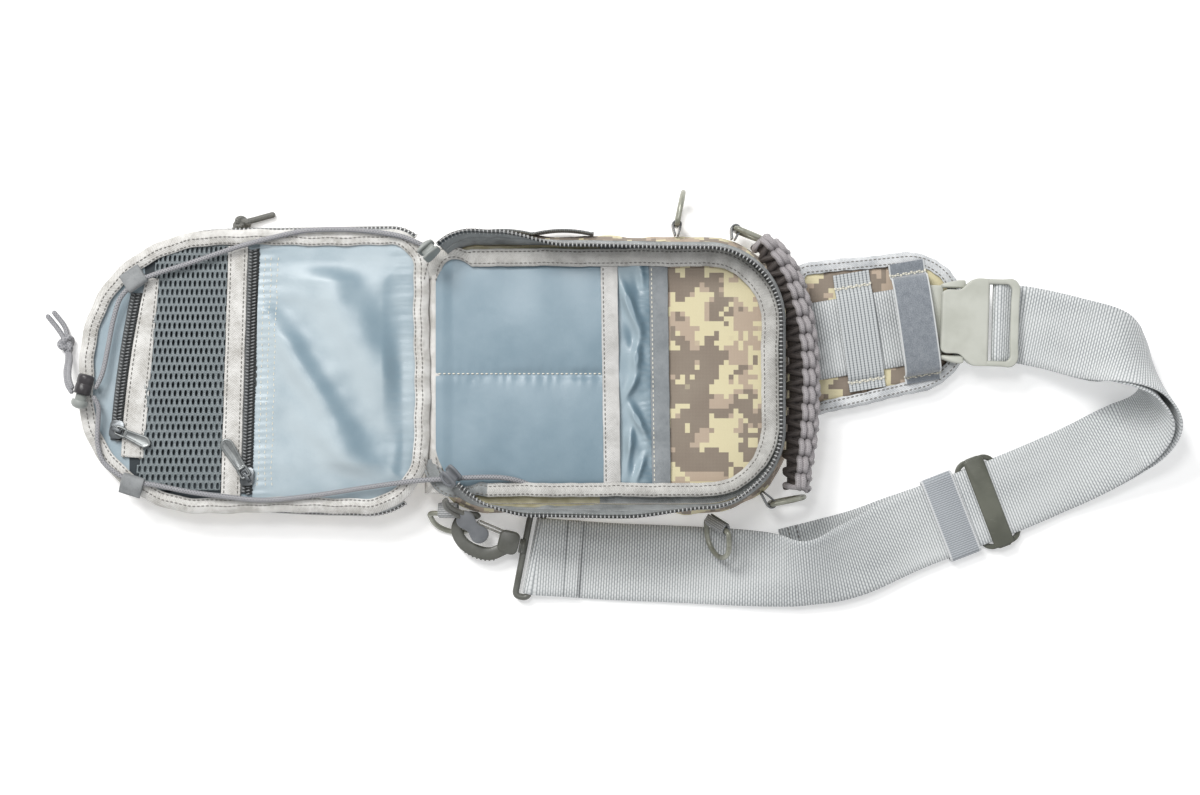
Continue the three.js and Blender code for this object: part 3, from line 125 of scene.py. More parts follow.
# Cord routes
BUNGEE_UPPER_ROUTE = [
    (-113.2, 78, 32.6), (-116, 79.8, 35.2), (-120.4, 82.2, 37.4), (-126, 84.8, 38.2), (-133, 87.6, 38.2),
    (-149, 90.6, 37), (-173, 92.4, 36), (-196, 91.6, 35), (-214, 88, 34.6), (-238.4, 81.6, 33.6),
    (-271, 70.8, 32), (-293, 63.8, 31.5), (-304, 59, 31.3), (-313.8, 49.6, 30.8), (-318.6, 36.2, 29.8),
    (-322.4, 17, 29.8), (-326, 0, 31), (-330.2, -9.4, 32.4),
]
BUNGEE_LOWER_ROUTE = [
    (-331.4, -13.4, 32.4), (-328.4, -20, 31), (-328.6, -29, 29.8), (-329, -44, 29.6),
    (-325.4, -55.4, 29.8), (-316, -63.4, 30.9), (-306, -68, 31.5), (-291, -70.6, 31.9),
    (-271, -74.6, 32.4), (-248.6, -77.6, 33.4), (-222.4, -80, 34.4), (-190, -77, 35.8),
    (-157.4, -72, 37.4), (-127, -67.8, 38.8), (-107, -66.4, 39.4), (-79, -65.2, 38.8), (-70, -65.6, 38),
    (-62.5, -66.9, 36.2), (-56.5, -68.8, 33.8), (-52.5, -70.4, 31.9),
]
TAIL_STRANDS = [
    [(-344.6, -11.8, 32.4), (-348.6, -6.4, 28), (-351.6, 2, 18), (-352.2, 10, 9), (-353, 17, 5)],
    [(-344.4, -9.2, 32.4), (-347, -3.6, 29), (-349.4, 3.6, 18), (-350.2, 11, 9), (-352, 17, 5)],
]
CUT_ENDS = [
    [(-354, 21, 5), (-359, 29, 2.4), (-367.2, 39.2, 1.8)],
    [(-352.6, 22, 5), (-355, 31, 2.4), (-363, 41.6, 1.8)],
]
TAIL_KNOT = (-353.4, 19.8, 5.6)
PULL_CORD_ROUTE = [
    (-249, 89.1, 6), (-245, 93.6, 6), (-240, 97.9, 5.4), (-230, 101.2, 3), (-218.6, 104.4, 2.3),
]
PULL_KNOT = (-240, 98.4, 5.2)

# The strap's middle line: x, y, z, heading and rise of its width, half the distance of its two layers
STRAP_ROUTE = [
    (-22, -119.6, 2.2, 84, 0, 1.1), (4, -121.2, 2.4, 86, 0, 1.1), (34, -122.4, 2.6, 87, 0, 1.1),
    (70, -124, 4.2, 87, 1, 1.1), (104, -125.6, 12.2, 90, 15, 1.1), (126, -127, 20, 97, 31, 1.1),
    (154, -119.4, 14, 108, 14, 1.1), (186, -104.6, 7.4, 112, 2, 1.4), (219, -91.4, 5.6, 111, 0, 2.2),
    (243.4, -82.2, 5.5, 110.5, 0, 2.6), (264, -74, 5.6, 111, 0, 2.4), (282, -66.2, 6.4, 111.4, 0, 1.1),
    (303, -56.6, 8, 113, -6, 1.6), (328, -43, 12.5, 117, -22, 2.2), (344.5, -33, 20, 116, -40, 2.6),
    (351, -20.5, 29, 115, -50, 2.8), (343, -1, 38.5, 103, -46, 2.8), (324, 14.6, 43, 97, -26, 2.6),
    (297, 23.4, 35, 96, -6, 2), (276, 29.4, 24.5, 92.4, 0, 1.1), (262, 32.2, 20.6, 89, 0, 1.1),
]
STRAP_TAIL = [
    (220, -91.2, 3, 111, 0, 0), (186, -103, 2.7, 110, 0, 0), (160, -112.4, 1.6, 108, 0, 0),
    (114, -124.4, 1.4, 103, 0, 0),
]
STRAP_WIDE, STRAP_THICK = 50, 1.6
HOOK_BAR = (-49.4, -117.4, 6)
HOOK_BAR_HEADING = 79

# Rings: where the bar is, the way the bow points, the bar's direction, the way from the bag, and the loop's
# reach and width
RINGS = {
    "side": ((41.5, 96.4, 18), (0.2, 0.98, 0), (0, 0, 1), (0, 1, 0), 7, 21),
    "handle_upper": ((79, 93.4, 23), (0.93, -0.37, 0), (0, 0, 1), (0.18, 0.98, 0), 7, 21),
    "handle_lower": ((102, -82.6, 23), (1, 0.2, 0), (0, 0, 1), (0.64, -0.77, 0), 9, 21),
    "free": ((67.5, -97, 23), (0.05, -0.93, -0.36), (0.5, -0.3, 0.8), (0, -1, 0), 4.8, 21),
    "hook": ((-105.2, -89, 19), (0.25, -0.6, -0.76), (0.954, 0.02, 0.298), (0, -1, 0), 6.8, 13),
}
RING_BODIES = {"side": "ring_side", "free": "ring_free"}
RING_WIDE, RING_LEG = 27, 8

HANDLE_ROUTE = [
    (94, 85.4, 29.5), (101, 76.6, 32.5), (110, 58, 33.5), (117, 32, 33.5), (120, 4, 33.5),
    (119.4, -26, 33.5), (117.4, -50, 33), (116.5, -73, 30.5),
]
HANDLE_KNOTS = 15
HANDLE_TILT = 24
HANDLE_CORE = (7.4, 2.9)  # half width and half height
HANDLE_TURN, HANDLE_WHIPPING = (8.3, 3.7, 2.0), (8.6, 4.3, 2.0)  # the same of a turn of cord, and its radius
HANDLE_LINKS = [(0, -5.9, 5.2), (0, -9.7, 3.8), (0.5, -11.0, -1.2)]  # shift in knots, place across, height

YOKE_AT, YOKE_TURN = (116.4, 21, 0), 9.5
YOKE = {"left": 0, "right": 112, "bottom": -50, "top": 50, "radii": (10, 34, 34, 10)}
YOKE_TIP = 0.86  # its width at the tip as a share of that at the bag
YOKE_BAND, ELASTIC_RIBS = 24, 10  # width of the two bands across the yoke, and the elastic's ribs
ELASTIC_ROWS = [(-38, 14.35), (-31, 14.35), (-28, 16.3), (24, 16.3), (27, 14.35), (38, 14.35)]
STRIP_ROWS = [(-39, 15.95), (-34, 15.95), (-31, 24.95), (27, 24.95), (30, 15.95), (39, 15.95)]

BUCKLE_AT, BUCKLE_X = (234.4, 33.6, 24), (0.9995, -0.03, 0)
BUCKLE_BAR = 13

# Places of hard parts: where their own axes start, and the directions of their x and y
LOCK = ((-335, 0, 33.6), (-0.26, -0.965, 0.02), (0.965, -0.26, 0))
HOOK = ((-58.9, -110.6, 10), (-0.972, 0.235, 0), (-0.235, -0.972, 0))
KEEPER = ((219.2, -91.4, 4.7), (0.93, 0.36, 0), (-0.36, 0.93, 0))
TRIGLIDE = ((243.4, -82.2, 5.5), (0.935, 0.355, 0), (-0.355, 0.935, 0))
PULLER = ((-90, -97.4, 21.4), (0.61, -0.68, -0.41), (0.74, 0.67, 0))
CORD_TABS = {"upper": ((-304, 58.9, 31.3), (0.56, -0.83, 0)), "lower": ((-306, -68, 31.5), (0.3, 0.95, 0))}

# Shapes of hard parts, in their own axes
HOOK_BACK = [  # x, y, z and width
    (10, 4, 0, 8), (18, 9.4, 0, 8.2), (28, 9.8, 0, 8), (37, 6.6, 0, 7.6),
    (42.6, 0, 0, 7.2), (42.6, -6.4, 0, 6.4), (38.4, -11, 0, 5.4), (29.8, -12.8, 0, 4.2),
]
HOOK_COLLAR = [  # radius and place of each turned edge, as in the cord lock
    (0.1, 7.6), (4.2, 7.8), (4.7, 8.4), (4.7, 9.6), (4.2, 9.9),
    (4.2, 10.3), (4.7, 10.6), (4.7, 11.4), (4.2, 11.8), (0.1, 11.9),
]
LOCK_BARREL = [
    (0.1, 0), (3.2, 0), (4.4, 0.25), (5.1, 0.9), (5.3, 1.8), (5.3, 5.6), (5.0, 5.9), (5.0, 6.5),
    (5.3, 6.8), (5.3, 12.2), (5.0, 12.9), (4.4, 13), (3.8, 12.9), (3.8, 2.6), (0.1, 2.5),
]
LOCK_BUTTON = [
    (0.1, 6.5), (3.4, 6.5), (3.4, 16.7), (4.6, 16.8), (5.2, 17.2), (5.3, 18),
    (5.3, 19.2), (4.9, 20.2), (4.0, 21.4), (2.6, 22.1), (1.2, 22.35), (0.1, 22.4),
]
PULL_ROWS = [  # inset and height of each layer
    (1.6, -0.4), (1.0, -0.75), (0.3, -0.7), (0, -0.3), (0, 0.3),
    (0.3, 0.7), (1.0, 0.75), (1.6, 0.3), (2.0, 0.2),
]
PULLER_STRAND = [  # x, the share and shift of y, and z
    (-10.6, 1, 0, 1.4), (-14, 0.9, -0.5, 1.9), (-17.5, 0.8, -1.3, 3.3),
    (-25, 0.7, -2, 7.8), (-32.6, 0.4, 0, 13.2),
]
LOOP_FOLD = [(-1.6, -3.0), (1.2, -3.05), (3.1, 0), (1.2, 3.05), (-1.6, 3.0)]
TAB_FOLD = [(-9.5, -2.6), (-3, -3.1), (2.2, -3.0), (3.8, 0), (2.2, 3.2), (-2.6, 3.2), (-9.5, -0.6)]
BUCKLE_SHOULDER = [  # x, half width, 0
    (-24, 17, 0), (-23.4, 18.6, 0), (-21, 20.2, 0), (-12, 20.8, 0),
    (-7.4, 24.6, 0), (-3, 27.6, 0), (6.6, 28, 0),
]
BUCKLE_FRAME = [(5, 26.2, 0), (14, 26.2, 0), (20, 26.1, 0), (22.9, 23.4, 0), (23, 12, 0)]
BUCKLE_PRONG = [(-24, 21.6), (-8.6, 21.6), (-8.6, 26.8), (-14, 26.6), (-24, 24)]
GATE_PIN, GATE_TIP = (11.4, -5.4), (31.2, -8.7)
PULL_PIN_HIGH = 3.1  # the pulls' pivot above the foot of their sliders
PULLER_HALF, PULLER_LOBE, PULLER_WAIST = 13.2, 6, 4.3

# Angles in degrees between faces of a solid: joined as flat up to the first, rounded from the second
FLAT_WITHIN, EDGE_FROM = 1.5, 28

# Pads: voxels of the remesh, how far they are drawn in, how far a point may swell, and the lowest point
PAD_VOXEL, PAD_SHRINK, PAD_CAP, PAD_LOWEST = 4.5, 1.0, 1.6, 0.05

# Numbers, curves and frames


def unit(vectors):
    """Vectors divided by their lengths."""
    vectors = np.asarray(vectors, float)
    return vectors / np.linalg.norm(vectors, axis=-1, keepdims=True)


def lerp(a, b, t):
    """The value a share t of the way from a to b."""
    return a + (b - a) * t


def smooth(x, low, high):
    """0 below low, 1 above high and the S-curve 3t^2 - 2t^3 between."""
    t = np.clip((x - low) / (high - low), 0, 1)
    return t * t * (3 - 2 * t)


def read(rows, at):
    """A table's columns at places along its first column, eased from row to row."""
    rows = np.array(rows, float)
    i = np.clip(np.searchsorted(rows[:, 0], at, side="right") - 1, 0, len(rows) - 2)
    ease = smooth(at, rows[i, 0], rows[i + 1, 0])
    return (rows[i, 1:] + (rows[i + 1, 1:] - rows[i, 1:]) * ease[..., None]).T


def shares(rows, columns):
    """Two grids of shares from 0 to 1, one along the rows and one along the columns."""
    return np.meshgrid(np.linspace(0, 1, rows), np.linspace(0, 1, columns), indexing="ij")


def wander(s, seed, longest, octaves=4):
    """Smooth noise along a line, about -1 to 1: seeded sines of falling wavelength and weight."""
    draw = np.random.default_rng(seed)
    steps = np.arange(octaves)
    waves = 2 * np.pi / longest * 1.9**steps * draw.uniform(0.85, 1.15, octaves)
    phases = draw.uniform(0, 2 * np.pi, octaves)
    weights = 0.65**steps
    return (np.sin(np.asarray(s)[..., None] * waves + phases) * weights).sum(-1) / weights.sum()


def crumple(x, y, seed, size, count=16):
    """Smooth noise over a plane, about -1 to 1: seeded sines with wavelengths around a size."""
    draw = np.random.default_rng(seed)
    angles = draw.uniform(0, 2 * np.pi, count)
    waves = 2 * np.pi / (size * draw.uniform(0.6, 1.8, count))
    phases = draw.uniform(0, 2 * np.pi, count)
    x, y = np.asarray(x)[..., None], np.asarray(y)[..., None]
    return np.sin((x * np.cos(angles) + y * np.sin(angles)) * waves + phases).sum(-1) / math.sqrt(count)


def ridges(x, y, rows):
    """A sum of folds, each high * exp(-4 (along/long)^2 - (aside/wide)^2) about its own middle."""
    total = np.zeros(np.broadcast(x, y).shape)
    for middle_x, middle_y, angle, long, wide, high in rows:
        c, s = math.cos(math.radians(angle)), math.sin(math.radians(angle))
        along = (x - middle_x) * c + (y - middle_y) * s
        aside = (y - middle_y) * c - (x - middle_x) * s
        total = total + high * np.exp(-4 * (along / long) ** 2 - (aside / wide) ** 2)
    return total


def even(fine, steps):
    """A dense run of points resampled at equal distances; further columns are carried along."""
    s = distances(fine[:, :3])
    at = np.linspace(0, s[-1], steps)
    return np.stack([np.interp(at, s, column) for column in fine.T], 1)


def curve(points, steps):
    """Equal steps along the centripetal Catmull-Rom curve through points: between two of them, a blend of
    straight lines through the four nearest, with knots spaced by the square root of the distances."""
    p = np.array(points, float)
    p = np.vstack([2 * p[0] - p[1], p, 2 * p[-1] - p[-2]])
    gaps = np.maximum(np.linalg.norm(np.diff(p[:, :3], axis=0), axis=1), 1e-6) ** 0.5
    knots = np.concatenate([[0], np.cumsum(gaps)])
    i = np.arange(len(p) - 3)
    k0, k1, k2, k3 = (knots[i + n][:, None, None] for n in range(4))
    a, b, c, d = (p[i + n][:, None, :] for n in range(4))
    t = k1 + (k2 - k1) * np.linspace(0, 1, 25)[None, :, None]
    ab = ((k1 - t) * a + (t - k0) * b) / (k1 - k0)
    bc = ((k2 - t) * b + (t - k1) * c) / (k2 - k1)
    cd = ((k3 - t) * c + (t - k2) * d) / (k3 - k2)
    abc = ((k2 - t) * ab + (t - k0) * bc) / (k2 - k0)
    bcd = ((k3 - t) * bc + (t - k1) * cd) / (k3 - k1)
    fine = ((k2 - t) * abc + (t - k1) * bcd) / (k2 - k1)
    return even(fine.reshape(-1, p.shape[1]), steps)


def tangents(points, loop=False):
    """Unit directions along a run of points, from the neighbours on either side."""
    if loop:
        return unit(np.roll(points, -1, 0) - np.roll(points, 1, 0))
    return unit(np.gradient(points, axis=0))


def distances(points):
    """Distance along a run of points."""
    return np.concatenate([[0], np.cumsum(np.linalg.norm(np.diff(points, axis=0), axis=1))])


def axes(x, y):
    """A right-handed set of unit axes: x as given, y turned square to it, and z."""
    x = unit(x)
    z = unit(np.cross(x, y))
    return x, np.cross(z, x), z


def put(local, at, x, y):
    """Points from local axes to the bag's: at + a x + b y + c z."""
    way_x, way_y, way_z = axes(x, y)
    local = np.asarray(local, float)
    return np.asarray(at, float) + local[..., :1] * way_x + local[..., 1:2] * way_y + local[..., 2:] * way_z


def box_of(left, right, bottom, top, radius):
    """A rounded box with the same radius at its four corners."""
    return {"left": left, "right": right, "bottom": bottom, "top": top, "radii": (radius,) * 4}


def box_run(box, step, start=180, stop=540):
    """Points and outward directions round a rounded box, anticlockwise from the turn start to the turn
    stop: arcs about the four corner centres, joined by the sides."""
    r = box["radii"]
    centres = [
        (box["left"] + r[0], box["bottom"] + r[0]),
        (box["right"] - r[1], box["bottom"] + r[1]),
        (box["right"] - r[2], box["top"] - r[2]),
        (box["left"] + r[3], box["top"] - r[3]),
    ]
    arcs = []
    for k, (x, y) in enumerate(centres):
        turns = np.radians(np.linspace(max(start, 180 + 90 * k), min(stop, 270 + 90 * k), 40))
        c, s = np.cos(turns), np.sin(turns)
        arcs.append(np.stack([x + r[k] * c, y + r[k] * s, 0 * c, c, s, 0 * c], 1))
    fine = np.concatenate(arcs)
    if stop - start >= 360:
        fine = np.concatenate([fine, fine[:1]])
    run = even(fine, int(distances(fine[:, :3])[-1] / step))
    if stop - start >= 360:
        run = run[:-1]
    return run[:, :3], unit(run[:, 3:])


def outline_of(box, step):
    """Points all the way round a rounded box, in its plane."""
    return box_run(box, step)[0][:, :2]


def box_span(box, x, inset):
    """The lowest and highest y of a rounded box at x, set in by a distance."""
    lower_left, lower_right, upper_right, upper_left = box["radii"]

    def drop(left_radius, right_radius):
        left = np.maximum(0, box["left"] + left_radius - x)
        right = np.maximum(0, x - (box["right"] - right_radius))
        radius = np.where(left > 0, left_radius, right_radius)
        reach = np.maximum(left, right)
        return radius - np.sqrt(np.maximum(0, (radius - inset) ** 2 - reach**2))

    return box["bottom"] + drop(lower_left, lower_right), box["top"] - drop(upper_left, upper_right)


def rounded(corners, cut, steps):
    """A polygon whose corners are quadratic curves that start and end a cut away from them."""
    corner = np.asarray(corners, float)

    def toward(way):
        return corner + way * np.minimum(cut / np.linalg.norm(way, axis=-1, keepdims=True), 0.48)

    start = toward(np.roll(corner, 1, -2) - corner)[..., None, :]
    end = toward(np.roll(corner, -1, -2) - corner)[..., None, :]
    t = np.linspace(0, 1, steps)[:, None]
    bend = (1 - t) ** 2 * start + 2 * t * (1 - t) * corner[..., None, :] + t**2 * end
    return bend.reshape(*corner.shape[:-2], -1, 2)


def slab(half, low, high, cut, steps=4):
    """A four-cornered section with rounded corners."""
    return rounded([(-half, low), (half, low), (half, high), (-half, high)], cut, steps)


def circle(radius, sides):
    """The corners of a round section."""
    turn = 2 * np.pi * np.arange(sides) / sides
    return radius * np.stack([np.cos(turn), np.sin(turn)], -1)


def sweep(at, out, up, section):
    """A section of [out, up] corners carried along a path: at + a out + b up."""
    section = np.asarray(section, float)
    if section.ndim == 2:
        section = section[None]
    return at[:, None] + section[..., :1] * out[:, None] + section[..., 1:] * up[:, None]


def upright(path):
    """The upward direction at each point of a path."""
    return np.broadcast_to(UP, path.shape)


def repeat(section, count):
    """A section's own copy for each of a count of points along a path."""
    return np.broadcast_to(section, (count, *np.shape(section))).copy()


def band_map(along, across):
    """The cloth map of a closed section carried along a path: the distances along the path and across the
    section, which may differ from point to point, with the first column again at the end."""
    across = np.broadcast_to(across, (len(along), np.shape(across)[-1]))
    spread = np.stack([np.broadcast_to(along[:, None], across.shape), across], -1)
    return np.concatenate([spread, spread[:, :1]], 1)


def closed_map(along, across, step=2):
    """The cloth map of a section carried right round, with its first row again a step after the last."""
    spread = band_map(along, across)
    return np.concatenate([spread, spread[:1] + np.array([along[-1] + step, 0])], 0)


def cord_grid(path, radius, sides=12):
    """A round cord: a circle carried along a path, drawn in to rounded ends over one radius."""
    way = tangents(path)
    side = unit(np.cross(UP, way) + 1e-9)
    s = distances(path)
    from_end = np.minimum(s, s[-1] - s)
    size = np.sqrt(np.clip(1 - (1 - np.minimum(1, from_end / radius + 0.08)) ** 2, 0, 1))
    section = circle(radius, sides)[None] * size[:, None, None]
    return sweep(path, side, np.cross(way, side), section)


# Meshes


class Shape:
    """One piece in the making: grids of four-sided faces with a cloth map in millimetres."""

    def __init__(self):
        self.points, self.faces, self.maps, self.finishes = [], [], [], []
        self.caps, self.cap_finishes = [], []
        self.size = 0

    def grid(self, points, around=False, loop=False, caps=False, finish=0, spread=None, face_up=True):
        """Adds a grid, or a stack of equal grids, of points. around joins the last column to the first,
        loop the last row to the first, and caps fill the end rings. finish is a number or one per column
        of faces."""
        points = np.asarray(points, float)
        batch = points[None] if points.ndim == 3 else points
        count, rows, columns = batch.shape[:3]
        number = self.size + np.arange(batch[..., 0].size).reshape(count, rows, columns)
        ends = number
        at = batch
        if around:
            number = np.concatenate([number, number[:, :, :1]], 2)
            at = np.concatenate([at, at[:, :, :1]], 2)
        if loop:
            number = np.concatenate([number, number[:, :1]], 1)
            at = np.concatenate([at, at[:, :1]], 1)
        if spread is None:
            along = np.linalg.norm(np.diff(at, axis=1), axis=-1).mean((0, 2))
            across = np.linalg.norm(np.diff(at, axis=2), axis=-1).mean((0, 1))
            along, across = (np.concatenate([[0], np.cumsum(steps)]) for steps in (along, across))
            u, v = np.meshgrid(along, across, indexing="ij")
            spread = np.broadcast_to(np.stack([u, v], -1), (count, *u.shape, 2))
        elif np.ndim(spread) == 3:
            spread = np.broadcast_to(spread, (count, *np.shape(spread)))
        corners = [np.s_[:, :-1, :-1], np.s_[:, 1:, :-1], np.s_[:, 1:, 1:], np.s_[:, :-1, 1:]]
        normal = np.cross(at[corners[2]] - at[corners[0]], at[corners[3]] - at[corners[1]])
        if around:
            middle = batch.mean(2)
            middle = np.concatenate([middle, middle[:, :1]], 1) if loop else middle
            facing = ((at[corners[0]] - middle[:, : normal.shape[1], None]) * normal).sum()
        else:
            facing = normal[..., 2].sum() * (1 if face_up else -1)
        turned = facing < 0
        if turned:
            corners = corners[::-1]
        self.points.append(batch.reshape(-1, 3))
        self.faces.append(np.stack([number[c] for c in corners], -1).reshape(-1, 4))
        self.maps.append(np.stack([spread[c] for c in corners], -2).reshape(-1, 4, 2))
        self.finishes.append(np.broadcast_to(finish, normal.shape[:3]).reshape(-1))
        if caps:
            first, last = ends[:, 0], ends[:, -1]
            self.caps += (first[:, ::-1] if turned else first).tolist()
            self.caps += (last if turned else last[:, ::-1]).tolist()
            self.cap_finishes += [int(np.ravel(finish)[0])] * (2 * count)
        self.size += batch[..., 0].size
        return self

    def tube(self, points, **said):
        """Adds a grid that closes round its columns, with filled ends."""
        return self.grid(points, around=True, caps=True, **said)

    def hoop(self, points, **said):
        """Adds a grid that closes round its columns and from its last row to its first."""
        return self.grid(points, around=True, loop=True, **said)

    def make(self, name, finishes, slot, node=None, body="bag"):
        """Writes the mesh in metres, links its object, gives it its finishes, attaches it to its body and
        hides the solid it stands for.
        """
        faces = np.concatenate(self.faces)
        mesh = bpy.data.meshes.new(name)
        mesh.from_pydata((np.concatenate(self.points) * MM).tolist(), [], faces.tolist() + self.caps)
        cap_corners = sum(len(cap) for cap in self.caps)
        maps = np.concatenate([np.concatenate(self.maps).reshape(-1, 2) * MM, np.zeros((cap_corners, 2))])
        layer = mesh.uv_layers.new(name=CLOTH_MAP)
        layer.data.foreach_set("uv", maps.ravel())
        numbers = np.concatenate([*self.finishes, np.array(self.cap_finishes, int)]).astype(np.int32)
        mesh.polygons.foreach_set("material_index", numbers)
        mesh.polygons.foreach_set("use_smooth", np.ones(len(numbers), bool))
        for finish in finishes:
            mesh.materials.append(finish)
        mesh.update()
        return dress(link(name, mesh), node, body)


def link(name, data):
    """A new object in the scene."""
    thing = bpy.data.objects.new(name, data)
    bpy.context.scene.collection.objects.link(thing)
    return thing


def coat(mesh, finish):
    """Gives a mesh one finish and smooth faces."""
    mesh.materials.clear()
    mesh.materials.append(finish)
    mesh.polygons.foreach_set("material_index", np.zeros(len(mesh.polygons), np.int32))
    mesh.polygons.foreach_set("use_smooth", np.ones(len(mesh.polygons), bool))


def weld(mesh, distance=0.001, flat=None):
    """Merges points within a distance, and joins faces within an angle of flat if one is given."""
    work = bmesh.new()
    work.from_mesh(mesh)
    bmesh.ops.remove_doubles(work, verts=work.verts, dist=distance * MM)
    if flat is not None:
        bmesh.ops.dissolve_limit(work, angle_limit=math.radians(flat), verts=work.verts, edges=work.edges)
    work.to_mesh(mesh)
    work.free()


def places(mesh, what="co"):
    """A mesh's points, or another of their vectors, as rows."""
    values = np.empty(len(mesh.vertices) * 3)
    mesh.vertices.foreach_get(what, values)
    return values.reshape(-1, 3)


def dress(thing, node, body="bag"):
    """Attaches a piece to its body, and hides the solid it stands for if one is given."""
    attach(thing, body)
    if node:
        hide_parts(node)
    return thing


def beads(at, along, normal, long, wide, high):
    """Small rounded grains for stitches and teeth: five rings of six points about each place."""
    ring = circle(0.5, 6)
    profile = np.array([(-0.5, 0.42), (-0.34, 0.86), (0, 1), (0.34, 0.86), (0.5, 0.42)])
    x = profile[:, 0, None] * long + 0 * ring[None, :, 0]
    y = profile[:, 1, None] * ring[None, :, 0] * wide
    z = profile[:, 1, None] * ring[None, :, 1] * high
    aside = unit(np.cross(normal, along))
    normal = np.cross(along, aside)

    def spread(local, way):
        return local[None, :, :, None] * way[:, None, None, :]

    return at[:, None, None] + spread(x, along) + spread(y, aside) + spread(z, normal)


def stitch_row(shape, path, normal, finish, long=1.9, thread=0.8, pitch=STITCH_PITCH):
    """A row of stitches on a path, with the surface's normal along it."""
    count = max(3, int(distances(path)[-1] / pitch))
    run = even(np.concatenate([path, np.broadcast_to(normal, path.shape)], 1), count)
    at = run[:, :3]
    shape.tube(beads(at, tangents(at), unit(run[:, 3:]), long, thread, 0.7), finish=finish)


def soften(node, name, finish, bevel):
    """A copy of a hard solid with its loose triangles merged, flat faces joined and edges rounded."""
    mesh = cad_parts[node].data.copy()
    mesh.name = name
    weld(mesh, flat=FLAT_WITHIN)
    coat(mesh, finish)
    thing = link(name, mesh)
    edge = thing.modifiers.new("edge", "BEVEL")
    edge.width = bevel * MM
    edge.segments = 3
    edge.limit_method = "ANGLE"
    edge.angle_limit = math.radians(EDGE_FROM)
    edge.harden_normals = True
    return dress(thing, node)


# Finishes


def paint(code):
    """The linear colour of a six-digit screen colour."""
    channels = np.array([int(code[i : i + 2], 16) for i in (0, 2, 4)]) / 255
    linear = np.where(channels < 0.04045, channels / 12.92, ((channels + 0.055) / 1.055) ** 2.4)
    return (*(DIMMED * linear).tolist(), 1.0)


class Value:
    """One number that varies over a surface: a socket, on which the operators add Math nodes."""

    def __init__(self, finish, socket):
        self.finish = finish
        self.socket = socket

    def math(self, operation, *others):
        """This value and others through one Math node."""
        return self.finish.node("Math", {"operation": operation}, dict(enumerate((self, *others))))[0]

    def __add__(self, other):
        return self.math("ADD", other)

    def __sub__(self, other):
        return self.math("SUBTRACT", other)

    def __rsub__(self, other):
        return self.finish.node("Math", {"operation": "SUBTRACT"}, {0: other, 1: self})[0]

    def __mul__(self, other):
        return self.math("MULTIPLY", other)

    def __truediv__(self, other):
        return self.math("DIVIDE", other)

    __radd__ = __add__
    __rmul__ = __mul__

    def floor(self):
        return self.math("FLOOR")

    def fraction(self):
        return self.math("FRACT")

    def sine(self):
        return self.math("SINE")

    def size(self):
        return self.math("ABSOLUTE")

    def most(self, other):
        return self.math("MAXIMUM", other)

    def least(self, other):
        return self.math("MINIMUM", other)

    def step(self, low, high):
        """0 below low, 1 above high and a smooth step between."""
        ranges = {0: self, 1: low, 2: high}
        return self.finish.node("MapRange", {"interpolation_type": "SMOOTHSTEP"}, ranges)[0]


class Finish:
    """A material in the making, round its Principled shader."""

    def __init__(self, name, **constants):
        self.material = bpy.data.materials.new(name)
        self.material.use_nodes = True
        self.tree = self.material.node_tree
        self.shader = self.tree.nodes["Principled BSDF"]
        for socket, value in constants.items():
            self.shader.inputs[socket.replace("_", " ")].default_value = value

    def node(self, kind, settings=None, inputs=None):
        """Adds a node, sets its settings, then its sockets' values or links, and gives its outputs."""
        node = self.tree.nodes.new("ShaderNode" + kind)
        for key, value in (settings or {}).items():
            setattr(node, key, value)
        for key, value in (inputs or {}).items():
            self.feed(node.inputs[key], value)
        return [Value(self, socket) for socket in node.outputs]

    def feed(self, socket, value):
        """Links a value to a socket, or sets the socket to a plain one."""
        if isinstance(value, Value):
            self.tree.links.new(value.socket, socket)
        else:
            socket.default_value = value

    def cloth_place(self):
        """Lengths along and across the cloth in millimetres, from the piece's own map."""
        spot = self.node("UVMap", {"uv_map": CLOTH_MAP})[0]
        u, v, _ = self.node("SeparateXYZ", None, {0: spot})
        return u * 1000.0, v * 1000.0

    def solid_place(self):
        """Object coordinates in millimetres."""
        spot = self.node("TexCoord")[3]
        x, y, z = self.node("SeparateXYZ", None, {0: spot})
        return x * 1000.0, y * 1000.0, z * 1000.0

    def join(self, x, y, z=0.0):
        """A vector of three numbers."""
        return self.node("CombineXYZ", None, {0: x, 1: y, 2: z})[0]

    def noise(self, place, scale, detail, roughness=0.55):
        """Soft noise of 0 to 1 at a place, which is a vector or its two or three numbers."""
        vector = self.join(*place) if isinstance(place, tuple) else place
        inputs = {"Vector": vector, "Scale": scale, "Detail": detail, "Roughness": roughness}
        return self.node("TexNoise", None, inputs)[0]

    def mix(self, share, a, b):
        """A colour that goes from a to b, each a screen colour, a linear colour or a mix."""
        a, b = (paint(c) if isinstance(c, str) else c for c in (a, b))
        return self.node("Mix", {"data_type": "RGBA"}, {0: share, 6: a, 7: b})[2]

    def done(self, colour, roughness, height=None, deep=0.3, strength=0.6):
        """Feeds the shader. height is a relief of 0 to 1 that is deep millimetres high."""
        self.feed(self.shader.inputs["Base Color"], colour)
        self.feed(self.shader.inputs["Roughness"], roughness)
        if height is not None:
            inputs = {"Height": height, "Distance": deep * MM, "Strength": strength}
            self.feed(self.shader.inputs["Normal"], self.node("Bump", None, inputs)[0])
        return self.material


def on_cloth(name, **constants):
    """A new finish, with the lengths along and across the cloth."""
    finish = Finish(name, **constants)
    return finish, *finish.cloth_place()


